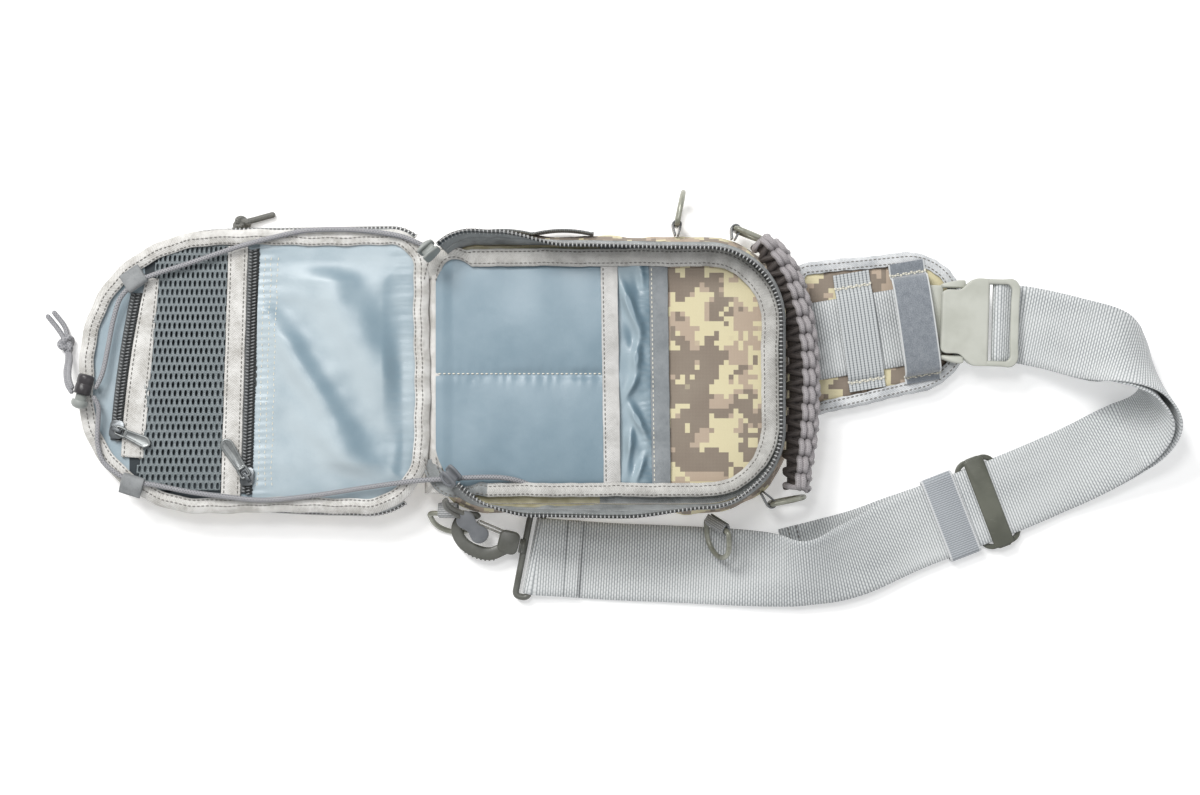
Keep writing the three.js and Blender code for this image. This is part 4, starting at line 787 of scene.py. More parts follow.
def woven(u, v, along, across):
    """Plain weave as heights 0 to 1: rounded threads that pass over and under each other."""
    a, b = u / along, v / across
    warp = 1.0 - (a.fraction() * 2.0 - 1.0).size().math("POWER", 2.0)
    weft = 1.0 - (b.fraction() * 2.0 - 1.0).size().math("POWER", 2.0)
    turn = ((a.floor() + b.floor()) / 2.0).fraction() * 2.0
    return warp * turn + weft * (1.0 - turn)


def camouflage(name, flat):
    """Printed cloth: three colours in stepped blocks. Noise is read at the corners of square cells, so
    each cell has one colour; broad noise makes the patches, finer noise and single cells break their
    borders."""
    finish = Finish(name, Sheen_Weight=0.12)
    u, v = finish.solid_place()[:2] if flat else finish.cloth_place()
    cell_u, cell_v = (u / CAMO_BLOCK).floor(), (v / CAMO_BLOCK).floor()
    cell = finish.join(cell_u, cell_v, 3.7)
    other = finish.join(cell_u + 41.0, cell_v - 17.0, 9.2)
    single = finish.node("TexWhiteNoise", None, {"Vector": cell})[0]
    borders = finish.noise(cell, 0.55, 1.0) * 0.3 + single * 0.07
    brown = (finish.noise(cell, 0.17, 1.0) + borders).step(0.699, 0.701)
    tan = (finish.noise(other, 0.2, 1.0) + borders).step(0.694, 0.696)
    colour = finish.mix(tan, "eadfb4", "bfa894")
    colour = finish.mix(brown, colour, "7b695d")
    weave = woven(u, v, 0.9, 0.9)
    worn = finish.noise((u, v), 0.03, 3.0)
    colour = finish.mix((worn * 0.2 + weave * 0.1).least(0.25), colour, "f2ecd8")
    return finish.done(colour, worn * 0.2 + 0.72, weave, 0.12)


def coated_cloth():
    """The cloth's cream coating: soft mottling, a faint weave and a low sheen."""
    finish, u, v = on_cloth("cream_coating", Specular_IOR_Level=0.35)
    mottle = finish.noise((u, v), 0.09, 4.0)
    weave = woven(u, v, 1.1, 1.1)
    colour = finish.mix(mottle.step(0.35, 0.68), "aea787", "cdc8ac")
    return finish.done(colour, mottle * 0.3 + 0.4, weave * 0.4 + mottle, 0.25)


def lining_cloth(name, light, dark, painted_slope_light=0.0):
    """Smooth nylon lining: a fine plain weave, slow changes of tone and small creases in the gloss. Where it
    is given a weight for its slope attribute, light and shade are painted on: it is lighter on slopes that
    face one set way and darker on slopes that face away."""
    finish, u, v = on_cloth(name, Specular_IOR_Level=0.6)
    weave = woven(u, v, 0.6, 0.6)
    slow = finish.noise((u, v, 5.0), 0.02, 2.0)
    crease = finish.noise((u, v, 2.0), 0.09, 3.0)
    # painted light and shade from the slope attribute
    facing = finish.node("Attribute", {"attribute_name": PAINTED_SLOPE_LIGHT})[2]
    shade = (weave * 0.16 + slow * 0.3 + crease * 0.1 + facing * painted_slope_light).step(0.1, 0.5)
    colour = finish.mix(shade, dark, light)
    return finish.done(colour, crease * 0.16 + 0.26, crease + weave * 0.1, 0.35)


def painted_shade_backing():
    """The wall behind the mesh: the blue lining painted near black as painted shade, for the deep shade under
    the spacer layer.
    """
    finish, u, v = on_cloth("painted_shade_backing")
    weave = woven(u, v, 1.0, 1.0)
    tone = finish.noise((u, v), 0.05, 2.0)
    colour = finish.mix(tone, "2b3338", "414a50")
    return finish.done(colour, tone * 0.2 + 0.6, weave, 0.15)


def tape(name, light, dark, rib=1.5, deep=0.22):
    """Woven binding tape: slanted twill ribs that turn at the middle, soft smudges and a fine grain."""
    finish, u, v = on_cloth(name, Sheen_Weight=0.1)
    slant = ((u + v.size() * 0.9) / rib).fraction()
    twill = (slant * 2.0 - 1.0).size()
    smudge = finish.noise((u, v), 0.07, 4.0, 0.6)
    grain = finish.noise((u, v, 4.0), 1.1, 2.0)
    shade = (smudge * 0.75 + twill * 0.16 + grain * 0.3).step(0.38, 0.78)
    return finish.done(finish.mix(shade, dark, light), smudge * 0.25 + 0.62, twill + grain, deep)


def thread(name, code):
    """Sewing thread: two twisted plies shown as slanted bands."""
    finish, u, v = on_cloth(name, Sheen_Weight=0.2)
    ply = ((u * 2.2 + v * 1.4).sine() * 0.5 + 0.5).step(0.1, 0.9)
    pale = tuple(min(1.0, c * 1.35) for c in paint(code)[:3]) + (1.0,)
    return finish.done(finish.mix(ply, paint(code), pale), ply * 0.2 + 0.5, ply, 0.1)


def spacer_mesh():
    """Knitted strands of a mesh: shiny grey yarn with fine loops."""
    finish, u, v = on_cloth("spacer_mesh", Specular_IOR_Level=0.6)
    loops = ((u * 5.0).sine() * (v * 6.5).sine()) * 0.5 + 0.5
    tone = finish.noise((u, v), 0.22, 3.0)
    colour = finish.mix((tone * 0.8 + loops * 0.3).step(0.35, 0.85), "5a6468", "a9b3b7")
    return finish.done(colour, tone * 0.25 + 0.36, loops, 0.2)


def coil(name, dark, light):
    """Nylon coil: dark glossy loops with paler crowns, which are painted highlights."""
    finish, u, v = on_cloth(name, Specular_IOR_Level=0.7)
    tone = finish.noise((u, v), 0.8, 2.0)
    # painted highlight: the loops' crowns are made paler
    crown = ((u * 1.25).sine() * 0.5 + 0.5) * 0.6 + tone * 0.5
    colour = finish.mix(crown.step(0.25, 0.9), dark, light)
    return finish.done(colour, tone * 0.2 + 0.22, tone, 0.1)


def webbing(name, light, dark, pitch=1.7, edge=None):
    """Heavy webbing: threads across it in rows like bricks, with pale crowns and darker gaps that follow the
    weave's relief as painted highlights and painted shade. A band of an edge's half width has pale selvedges."""
    finish, u, v = on_cloth(name, Sheen_Weight=0.15)
    rows = (u / pitch).fraction()
    rib = 1.0 - (rows * 2.0 - 1.0).size()
    shift = ((u / pitch).floor() / 2.0).fraction()
    brick = ((v / (1.7 * pitch) + shift).fraction() * 2.0 - 1.0).size()
    height = rib.step(0.0, 0.7) * ((1.0 - brick) * 0.55 + 0.45)
    tone = finish.noise((u * 0.3, v), 0.03, 3.0)
    fuzz = finish.noise((u, v, 8.0), 1.3, 2.0)
    # the tone follows the weave's relief: painted highlights on the crowns, painted shade in the gaps
    shade = (height * 0.7 + tone * 0.5 + fuzz * 0.25).step(0.25, 1.0)
    colour = finish.mix(shade, dark, light)
    if edge is not None:
        colour = finish.mix(v.size().step(edge - 1.6, edge - 1.0) * 0.7, colour, "eef0f1")
    return finish.done(colour, tone * 0.2 + 0.55, height, 0.45)


def elastic():
    """Ribbed elastic: pale dashes of the rubber's crossing threads over grey ribs, darker in the grooves
    between the ribs as painted shade.
    """
    finish, u, v = on_cloth("ribbed_elastic")
    dash = (u * 4.2).sine() * 0.5 + 0.5
    fuzz = finish.noise((u, v), 1.0, 2.0)
    # painted shade: darker in the grooves between the ribs
    crown = (v * (ELASTIC_RIBS * math.pi / YOKE_BAND)).sine().size().step(0.1, 0.75)
    colour = finish.mix((crown * 0.6 + dash * 0.3 + fuzz * 0.3).step(0.2, 1.0), "72787c", "d4d8da")
    return finish.done(colour, fuzz * 0.2 + 0.55, dash, 0.15)


def loop_pile():
    """Loop side of a hook fastener: a felt of tiny loops with a pale selvedge on both edges."""
    finish, u, v = on_cloth("loop_pile", Sheen_Weight=0.5)
    felt = finish.noise((u, v), 1.2, 3.0, 0.7)
    swirl = finish.noise((u, v, 6.0), 0.3, 3.0)
    edge = (v - YOKE_BAND / 2).size().step(10.6, 10.9)
    colour = finish.mix((felt * 0.9 + swirl * 0.4).step(0.4, 0.95), "767d86", "a4aab1")
    colour = finish.mix(edge, colour, "dcdfe0")
    return finish.done(colour, felt * 0.1 + 0.8, felt, 0.5, 0.9)


def braided(name, light, dark, around, pitch):
    """A braided sleeve: two sets of slanted yarns that cross as diamonds round the cord."""
    finish, u, v = on_cloth(name, Sheen_Weight=0.1)
    turn = v / around
    one = ((u / pitch + turn * 4.0) * math.tau).sine()
    two = ((u / pitch - turn * 4.0) * math.tau).sine()
    yarn = one.most(two) * 0.5 + 0.5
    tone = finish.noise((u, v), 0.5, 2.0)
    colour = finish.mix((yarn * 0.7 + tone * 0.4).step(0.35, 1.0), dark, light)
    return finish.done(colour, tone * 0.2 + 0.45, yarn, 0.25)


def plastic(name, light, dark, rough=0.42):
    """Moulded plastic: a fine spark texture, slow tone and light scuffs."""
    finish = Finish(name, Specular_IOR_Level=0.45)
    x, y, z = finish.solid_place()
    spark = finish.noise((x, y, z), 1.6, 2.0)
    slow = finish.noise((x, y, z), 0.05, 3.0)
    scuff = finish.noise((x * 0.4, y * 1.7, z), 0.35, 4.0, 0.7).step(0.62, 0.8)
    colour = finish.mix(slow.step(0.3, 0.7), dark, light)
    colour = finish.mix(scuff * 0.25, colour, "e4e4dc")
    return finish.done(colour, spark * 0.14 + scuff * 0.2 + rough - 0.07, spark, 0.08, 0.5)


def metal(name, light, dark, rough, amount, chips="d5d5cf"):
    """Painted or plated wire: even colour with small rubbed spots where the metal shows."""
    finish = Finish(name, IOR=1.6)
    x, y, z = finish.solid_place()
    slow = finish.noise((x, y, z), 0.12, 3.0)
    fine = finish.noise((x, y, z), 1.2, 3.0)
    rub = finish.noise((x, y, z), 0.3, 4.0, 0.65).step(0.6, 0.72)
    colour = finish.mix(slow.step(0.35, 0.65), dark, light)
    colour = finish.mix(rub * 0.5, colour, chips)
    finish.feed(finish.shader.inputs["Metallic"], rub * 0.2 + amount)
    return finish.done(colour, fine * 0.16 + rough - 0.08, fine, 0.05, 0.4)


CAMO_WALL = camouflage("camouflage_wall", False)
CAMO_FLAT = camouflage("camouflage_panel", True)
COATING = coated_cloth()
# Copies of one blue lining in different tones: the slip pocket's is darker as painted shade and the front
# unit's lighter as painted light; the last number weights painted light and shade on slopes.
LINING = lining_cloth("blue_lining", "b0c3cd", "708998", 0.35)
SHADED_SLIP_LINING = lining_cloth("shaded_slip_lining", "9db2bf", "748e9d")
LIT_FRONT_LINING = lining_cloth("lit_front_lining", "cbd9e0", "849caa", 0.52)
# painted shade: the near-black lining behind the mesh
PAINTED_SHADE_BACKING = painted_shade_backing()
WHITE_TAPE = tape("white_binding", "f4f3f0", "b5b2ac")
GREY_TAPE = tape("grey_binding", "e0dfdb", "b0aeaa")
PALE_TAPE = tape("pale_hem", "e6e5e3", "bcbbb8")
DARK_TAPE = tape("dark_hem", "a0a5a9", "80868a", 1.1)
TAB_TAPE = tape("tab_tape", "a3a6a8", "7d8082", 1.1)
YOKE_TAPE = tape("yoke_binding_tape", "eef0f2", "b9bdc1")
ZIP_TAPE = tape("zip_tape", "a9adae", "777b7c", 1.3)
FLAT_TAPE = tape("flat_zip_tape", "6d7071", "424546", 1.3)
GREY_THREAD = thread("grey_thread", "73716d")
PALE_THREAD = thread("pale_thread", "dcd9cc")
DARK_THREAD = thread("dark_thread", "3f4346")
MESH = spacer_mesh()
OPEN_COIL = coil("open_coil", "77797a", "f4f6f6")
SHUT_COIL = coil("shut_coil", "222425", "8d9092")
BLACK_CORE = coil("black_core", "0d0e0f", "2a2c2d")
STRAP_WEB = webbing("strap_webbing", "eceff0", "888e92")
LOOP_WEB = webbing("loop_webbing", "bdbfc0", "74777a", 1.4)
SIDE_WEB = webbing("side_webbing", "8b8f90", "5d6162", 1.4)
KEEPER_WEB = webbing("keeper_webbing", "bcc1c7", "8b9197", 1.4, 10.5)
ELASTIC = elastic()
PILE = loop_pile()
SHOCK = braided("shock_cord", "b4b4b8", "74757a", 10.0, 1.9)
LIGHT_BRAID = braided("light_braid", "c0bbbd", "8b8689", 13.2, 0.8)
DARK_BRAID = braided("dark_braid", "544c49", "2c2523", 12.5, 0.8)
PULL_BRAID = braided("pull_braid", "8b8b85", "4b4b48", 12.5, 1.0)
BUCKLE_PLASTIC = plastic("buckle_plastic", "d0d2c9", "c2c4ba")
GLIDE_PLASTIC = plastic("glide_plastic", "6c6e63", "595b51")
HOOK_PLASTIC = plastic("hook_plastic", "6f706b", "55564f", 0.36)
LOCK_PLASTIC = plastic("lock_plastic", "454245", "343134", 0.34)
BUTTON_PLASTIC = plastic("button_plastic", "b2b6b3", "959a97")
PULLER_RUBBER = plastic("puller_rubber", "8b8e92", "777a7f", 0.5)
OLIVE_METAL = metal("olive_metal", "aaab9e", "8b8c7f", 0.3, 0.25)
DARK_METAL = metal("dark_metal", "85898c", "5c6063", 0.32, 0.7)
PULL_METAL = metal("pull_metal", "9fa3a3", "7d8182", 0.34, 0.45)
BRIGHT_METAL = metal("bright_metal", "dcdcd8", "b2b2ac", 0.2, 0.8)

# Stage: camera, floor and light

camera = link("camera", bpy.data.cameras.new("camera"))
camera.data.lens = CAMERA_LENS
camera.data.sensor_width = CAMERA_SENSOR
camera.data.sensor_fit = "HORIZONTAL"
camera.data.clip_end = 20
camera.location = [c * MM for c in CAMERA_AT]
bpy.context.scene.camera = camera
bpy.context.scene.view_settings.view_transform = "Standard"


def make_floor():
    """A plain pale sheet of floor, as a grid, which glows faintly as painted light."""
    span = np.linspace(-FLOOR_HALF, FLOOR_HALF, FLOOR_LINES)
    x, y = np.meshgrid(span, span, indexing="ij")
    # painted light: the floor glows faintly, which lights the bag from below and pales its shadows on the
    # floor
    finish = Finish("glowing_floor_paper", Specular_IOR_Level=0.1, Emission_Strength=0.22)
    finish.feed(finish.shader.inputs["Emission Color"], (1, 1, 1, 1))
    tone = finish.noise(finish.solid_place()[:2], 0.004, 2.0)
    finish.done(finish.mix(tone, (0.95, 0.95, 0.95, 1.0), (0.98, 0.98, 0.98, 1.0)), tone * 0.05 + 0.88)
    mesh = bpy.data.meshes.new("floor")
    number = np.arange(FLOOR_LINES**2).reshape(FLOOR_LINES, -1)
    faces = np.stack([number[:-1, :-1], number[1:, :-1], number[1:, 1:], number[:-1, 1:]], -1).reshape(-1, 4)
    points = np.stack([x, y, 0 * x + FLOOR_LEVEL], -1).reshape(-1, 3) * MM
    mesh.from_pydata(points.tolist(), [], faces.tolist())
    mesh.materials.append(finish.material)
    link("floor", mesh)


def add_light(name, at, power, size, colour=(1, 1, 1)):
    """A square soft light aimed at the bag."""
    light = bpy.data.lights.new(name, "AREA")
    light.energy = power
    light.size = size
    light.color = colour
    thing = link(name, light)
    thing.location = at
    aim = unit(np.array(at))
    thing.rotation_euler = (math.acos(aim[2]), 0, math.atan2(aim[1], aim[0]) + math.pi / 2)


make_floor()
add_light("key", (-1.0, 1.4, 2.0), 46, 0.8, (1, 0.99, 0.97))
add_light("glint", (-0.45, 0.75, 2.6), 16, 0.45)
add_light("fill", (1.6, -0.9, 1.9), 7, 1.6, (0.96, 0.98, 1))
world = bpy.data.worlds.new("studio")
world.use_nodes = True
world.node_tree.nodes["Background"].inputs["Color"].default_value = (1, 1, 1, 1)
world.node_tree.nodes["Background"].inputs["Strength"].default_value = 0.5
bpy.context.scene.world = world

# Cords


def free_cord(name, route, diameter, finish, slot, node, steps, **said):
    """A cord along a route."""
    path = curve(route, steps)
    shape = Shape().tube(cord_grid(path, diameter / 2))
    thing = shape.make(name, [finish], slot, node)


def knot_grid(middle, size, thick, turn):
    """An overhand knot drawn tight: the trefoil (sin t + 2 sin 2t, cos t - 2 cos 2t, -sin 3t)."""
    t = np.linspace(0, 2 * np.pi, 90, endpoint=False)
    x, y = np.sin(t) + 2 * np.sin(2 * t), np.cos(t) - 2 * np.cos(2 * t)
    flat = np.stack([x, y, -1.5 * np.sin(3 * t)], -1) / 3
    c, s = math.cos(turn), math.sin(turn)
    flat = flat @ np.array([(c, s, 0), (-s, c, 0), (0, 0, 1)])
    path = np.array(middle) + flat * (np.array(size) - thick / 2)
    way = tangents(path, True)
    side = unit(np.cross(way, unit(path - np.array(middle) + 1e-3)))
    return sweep(path, side, np.cross(way, side), circle(thick / 2, 10))


free_cord("bungee_upper_cord", BUNGEE_UPPER_ROUTE, BUNGEE, SHOCK, "shock_cord", "bungee_upper", 240,
          far_end="object", stiffness="medium", lay="taut")
free_cord("bungee_lower_cord", BUNGEE_LOWER_ROUTE, BUNGEE, SHOCK, "shock_cord", "bungee_lower", 300,
          far_end="object", stiffness="medium", lay="taut")
for k, (strand, tip) in enumerate(zip(TAIL_STRANDS, CUT_ENDS)):
    node = "bungee_knot" if k == 0 else None
    free_cord(f"bungee_tail_{k + 1}", strand + tip, BUNGEE, SHOCK, "shock_cord", node, 90,
              far_end="bare", stiffness="medium", lay="hanging")
tail_knot = Shape().hoop(knot_grid(TAIL_KNOT, (6.2, 6.8, 5), BUNGEE + 0.8, 0.4))
tail_knot.make("bungee_tail_knot", [SHOCK], "shock_cord")
free_cord("pull_cord_strand", PULL_CORD_ROUTE, 4, PULL_BRAID, "braid_cord", "pull_cord", 60,
          far_end="bare", stiffness="medium", lay="loose")
pull_knot = Shape().hoop(knot_grid(PULL_KNOT, (6.6, 5, 4.8), 4, 1.2))
pull_knot.make("pull_cord_knot", [PULL_BRAID], "braid_cord")

# Body


def wall(run, outs, section, pucker, seed):
    """A cloth wall round an outline: a closed section of [out, height] corners carried along it, pushed
    in and out by a crumple that fades towards its sewn edges."""
    grid = sweep(run, outs, upright(run), section)
    s = distances(run)[:, None]
    z = grid[..., 2]
    low, high = z.min(1, keepdims=True), z.max(1, keepdims=True)
    loose = np.sin(np.pi * np.clip((z - low) / (high - low), 0, 1)) ** 0.7
    folds = crumple(s, z, seed, 34) + 0.5 * crumple(s, z * 0.4, seed + 1, 13)
    return grid + (pucker * loose * folds)[..., None] * outs[:, None]


def thick_curve(outer, thick, steps=9):
    """A closed wall section: a smooth curve through [out, height] points and its copy set in."""
    outer = curve(outer, steps)
    return np.concatenate([outer, outer[::-1] - np.array([thick, 0])])


def make_rear_wall():
    """The body's outer wall, bulging from the back pad to the tray's rim."""
    run, outs = box_run(BODY, 3)
    section = thick_curve([(-1, WALL_THICK), (3, BODY_DEEP / 2), (-2, BODY_DEEP)], WALL_THICK)
    shape = Shape().hoop(wall(run, outs, section, 0.7, 3))
    shape.make("rear_wall", [CAMO_WALL], "camouflage_cloth", "rear_gusset")


def panel_grid(box, inset, height, columns, rows, wave, seed):
    """A panel inside a rounded box: x eased from end to end, y from edge to edge, a soft crumple."""
    ease = 0.5 - 0.5 * np.cos(np.pi * np.linspace(0.02, 0.98, columns))
    x = lerp(box["left"] + inset, box["right"] - inset, ease)[:, None]
    low, high = box_span(box, x, inset)
    y = lerp(low, high, np.linspace(0, 1, rows)[None])
    x = x + 0 * y
    return np.stack([x, y, height(x, y) + wave * crumple(x, y, seed, 46)], -1)


def face_middles(grid):
    """The x and y of the middle of each face of a grid."""
    middle = (grid[1:, 1:] + grid[:-1, :-1]) / 2
    return middle[..., 0], middle[..., 1]


def make_organizer_panel():
    """The tray's floor: camouflage cloth, with a coated or taped margin along the rim."""
    grid = panel_grid(BODY, 4, lambda x, y: ORGANIZER_HIGH + 0 * x, 120, 120, 0.18, 5)
    x, y = face_middles(grid)
    low, high = box_span(BODY, x, ORGANIZER_MARGIN)
    inside = (y > low) & (y < high) & (x < BODY["right"] - ORGANIZER_MARGIN)
    panel = Shape().grid(grid, finish=np.where(inside, 0, np.where(x < COATING_ENDS, 1, 2)))
    panel.make("organizer_cloth", [CAMO_FLAT, COATING, ZIP_TAPE], "camouflage_cloth", "organizer_panel")


def slip_lift(y):
    """Two soft swellings either side of the middle seam."""
    return 3.4 * np.abs(np.sin(2 * np.pi * (y + HEM_HALF) / (2 * HEM_HALF))) ** 0.8


def over_hinge(x):
    """The rise of the slip pocket's edge over the hinge's flange."""
    return 1.4 * (1 - smooth(x, -109, -101))


def make_slip_pocket():
    """The slip pocket: level plus two swellings, pinched along the middle seam and at both ends, with
    fine puckers by the seam, soft creases and a stitched line."""
    s, t = shares(80, 120)
    y = lerp(-SLIP_HALF, SLIP_HALF, t)
    left = -112.6 + 9 * smooth(-y, 46, SLIP_HALF) + 6 * smooth(y, 58, SLIP_HALF)
    x = lerp(left, -5.6 - TRAY_SLANT * y, s)
    inner = smooth(s, 0, 0.6)
    seam = np.exp(-((y / 3.2) ** 2))
    puckers = 0.3 * np.sin(x / 1.15 + 2 * wander(x, 4, 30)) * np.exp(-((y / 5.5) ** 2)) * smooth(s, 0.03, 0.2)
    creases = 0.45 * crumple(x, y * 0.5, 8, 40) * smooth(s, 0, 0.25) * (1 - seam)
    z = SLIP_LEVEL + over_hinge(x) + slip_lift(y) * inner + puckers + creases - 0.5 * seam
    for end in (-SLIP_HALF, SLIP_HALF):
        z = z - 1.2 * np.exp(-(((y - end) / 6) ** 2)) * inner
    shape = Shape().grid(np.stack([x, y, np.maximum(z, LINING_LOWEST)], -1), spread=np.stack([x, y], -1))
    seam_x = np.linspace(-110, -8, 60)
    seam_path = np.stack([seam_x, 0 * seam_x + 0.6, SLIP_LEVEL + over_hinge(seam_x)], -1)
    stitch_row(shape, seam_path, UP, 1, 1.8, 0.9)
    pocket = shape.make("slip_pocket_cloth", [SHADED_SLIP_LINING, PALE_THREAD], "lining_cloth", "slip_pocket")


def strip(name, line, half, thick, finishes, slot, node, seed, rows, ruffle=0.0, sag=0.15):
    """A sewn strip of tape: a rounded flat section along a middle line, gently uneven, with rows of
    stitches at given offsets across it. line is the middle and the direction across it."""
    middle, out = line
    s = distances(middle)
    section = repeat(slab(half, 0, thick, min(0.7, thick * 0.48)), len(s))
    section[..., 0] *= 1 + 0.03 * wander(s, seed, 40)[:, None]
    wave = sag * wander(s, seed + 1, 24)[:, None]
    lift = wave + ruffle * wander(s, seed + 2, 5)[:, None] * (section[..., 0] < 0)
    section[..., 1] += lift * (section[..., 1] > thick * 0.3)
    shape = Shape().tube(sweep(middle, out, upright(middle), section), spread=band_map(s, section[:, :, 0]))
    for offset in rows:
        stitch_row(shape, middle + offset * out + (thick + wave + 0.05) * UP, UP, 1)
    shape.make(name, finishes, slot, node)


def across_tray(x, height):
    """A line across the tray at x, with its small slant, and the direction across it."""
    y = np.linspace(-HEM_HALF, HEM_HALF, 90)
    points = np.stack([x - TRAY_SLANT * y, y, height(y)], -1)
    return points, np.broadcast_to([1.0, 0.0, 0.0], points.shape)


def make_pocket_hems():
    """The tapes along the open edges of the tray's two pockets."""
    slip = across_tray(-1, lambda y: HEM_LEVEL + slip_lift(y) * 0.95)
    finishes = [PALE_TAPE, GREY_THREAD]
    strip("slip_hem_tape", slip, 5.4, 1.5, finishes, "binding_tape", "slip_pocket_hem", 11, [-3.9])
    upper = across_tray(30.4, lambda y: HEM_LEVEL + 0 * y)
    finishes = [DARK_TAPE, PALE_THREAD]
    strip("upper_hem_tape", upper, 6, 1.7, finishes, "grey_tape", "upper_pocket_hem", 14, [-4.4], 0.25)


def paint_slope_light(lining, points):
    """Gives a lining its painted light and shade: the part along a set way of the grid's normal at each
    point, kept as an attribute for its colour.
    """
    normal = unit(np.cross(np.gradient(points, axis=0), np.gradient(points, axis=1)))
    facing = np.zeros(len(lining.data.vertices), np.float32)
    facing[: points[..., 0].size] = (np.sign(normal[..., 2:]) * normal @ PAINTED_LIGHT_WAY).ravel()
    lining.data.attributes.new(PAINTED_SLOPE_LIGHT, "FLOAT", "POINT").data.foreach_set("value", facing)


def make_upper_pocket():
    """The gathered pocket between the hems: a belly with folds, a crumple, and puckers by the far hem."""
    s, t = shares(46, 190)
    y = lerp(-73.5, 73.5, t)
    x = lerp(3.6, 25.2, s) - TRAY_SLANT * y
    belly = np.sin(np.pi * np.clip(s, 0, 1)) ** 0.7
    folds = ridges(x, y, UPPER_POCKET_FOLDS) + 0.7 * crumple(x * 1.6, y, 21, 22)
    puckers = 0.5 * np.sin(y * 1.35 + 3 * wander(y, 9, 40)) * smooth(s, 0.55, 0.95)
    z = 32.0 + belly * (1.1 + 1.1 * folds) + puckers * belly
    points = np.stack([x, y, np.clip(z, LINING_LOWEST, 37)], -1)
    shape = Shape().grid(points, spread=np.stack([y, x], -1))
    pocket = shape.make("upper_pocket_cloth", [LINING], "lining_cloth", "upper_pocket")
    paint_slope_light(pocket, points)


def rim():
    """The tray's open sides: points, outward directions and the share of the way along."""
    run, outs = box_run(BODY, 2, HINGE_START, HINGE_STOP)
    return run, outs, np.linspace(0, 1, len(run))


def lean(outs, degrees):
    """Outward and upward directions turned about the rim by angles in degrees."""
    c, s = np.cos(np.radians(degrees))[:, None], np.sin(np.radians(degrees))[:, None]
    return outs * c - UP * s, UP * c + outs * s


def make_body_binding():
    """The tape round the tray: its section carried along the rim, uneven in height and place, wider along
    the upper side, and set out and down where it reaches the hinge; with two rows of stitches."""
    run, outs = box_run(BODY, 2, *BINDING_TURNS)
    s = distances(run)
    by_hinge = smooth(-outs[:, 0], 0.25, 0.9)
    not_low = 1 - smooth(-outs[:, 1], 0.2, 0.8)
    uneven = 0.3 * wander(s, 31, 46) + 0.12 * wander(s, 32, 7)
    aside = 0.5 * wander(s, 33, 60) + 13.5 * by_hinge
    drop = 1.2 * by_hinge
    section = repeat(rounded(BODY_BINDING_SECTION, 1.4, 4), len(run))
    section[..., 1] += uneven[:, None]
    section[..., 0] += 2.4 * (section[..., 0] > -13) * not_low[:, None]
    spread = band_map(s, section[..., 0] + 12.5)
    section[..., 0] += aside[:, None]
    section[..., 1] -= (drop + 3 * smooth(-outs[:, 0], 0.92, 1))[:, None]
    by_zip_end = (outs[:-1, :1] < -0.1) & (outs[:-1, 1:2] < 0)
    grid = sweep(run, outs, upright(run), section)
    shape = Shape().tube(grid, finish=np.where(by_zip_end, 2, 0), spread=spread)
    for offset, height in ((-9.6, 37.0), (-14.9, 36.1)):
        shift = offset + aside + 2 * (offset > -13) * not_low
        rise = height + uneven - drop
        stitch_row(shape, run + shift[:, None] * outs + rise[:, None] * UP, UP, 1)
    shape.make("body_binding_tape", [GREY_TAPE, GREY_THREAD, ZIP_TAPE], "binding_tape", "body_binding")


def zip_foot():
    """The clamshell wall's frames along the rim, and those at the foot of the zip tape on its edge."""
    run, outs, along = rim()
    high, wall_lean, tape_lean = read(CLAMSHELL, along)
    foot = run - 2.8 * outs + (BODY_DEEP + 0.6) * UP
    wall_out, wall_up = lean(outs, wall_lean)
    tape_out, tape_up = lean(outs, tape_lean)
    edge = foot + (high + 0.3)[:, None] * wall_up
    return foot, wall_out, wall_up, high, edge, tape_out, tape_up


def make_clamshell_wall():
    """The clamshell's wall: a thin sheet on the rim, bowed in and out, camouflaged outside and coated
    inside up to a share of its height that falls along the rim; and the taped hinge to the front unit."""
    foot, wall_out, wall_up, high, *_ = zip_foot()
    s = distances(foot)
    rise = np.linspace(0, 1, 13)
    inner = np.stack([0 * rise - 0.7, rise], -1)
    outer = np.stack([0 * rise + 0.7, rise], -1)[::-1]
    section = repeat(np.concatenate([outer, inner]), len(foot))
    section[..., 0] += 0.9 * wander(s, 41, 38)[:, None] * np.sin(np.pi * section[..., 1])
    section[..., 1] *= high[:, None]
    coated = 0.15 + 0.6 * (1 - smooth(s[:-1, None], 44, 96))
    inside = np.where(rise[None, 1:] < coated, 1, 3)
    sides = np.concatenate([np.zeros_like(inside), inside[:, :1], inside, inside[:, -1:]], 1)
    shape = Shape().tube(sweep(foot, wall_out, wall_up, section), finish=sides)
    y = np.linspace(-76, 80, 70)
    line = np.stack([0.5 * wander(y, 43, 50), y, 0 * y], -1)
    ways = np.broadcast_to([1.0, 0.0, 0.0], line.shape)
    shape.tube(sweep(line, ways, upright(line), rounded(HINGE_BAND, 0.45, 3)[::-1]), finish=2)
    shape.make("clamshell_cloth", [CAMO_WALL, COATING, WHITE_TAPE, ZIP_TAPE], "coated_cloth", "main_gusset")


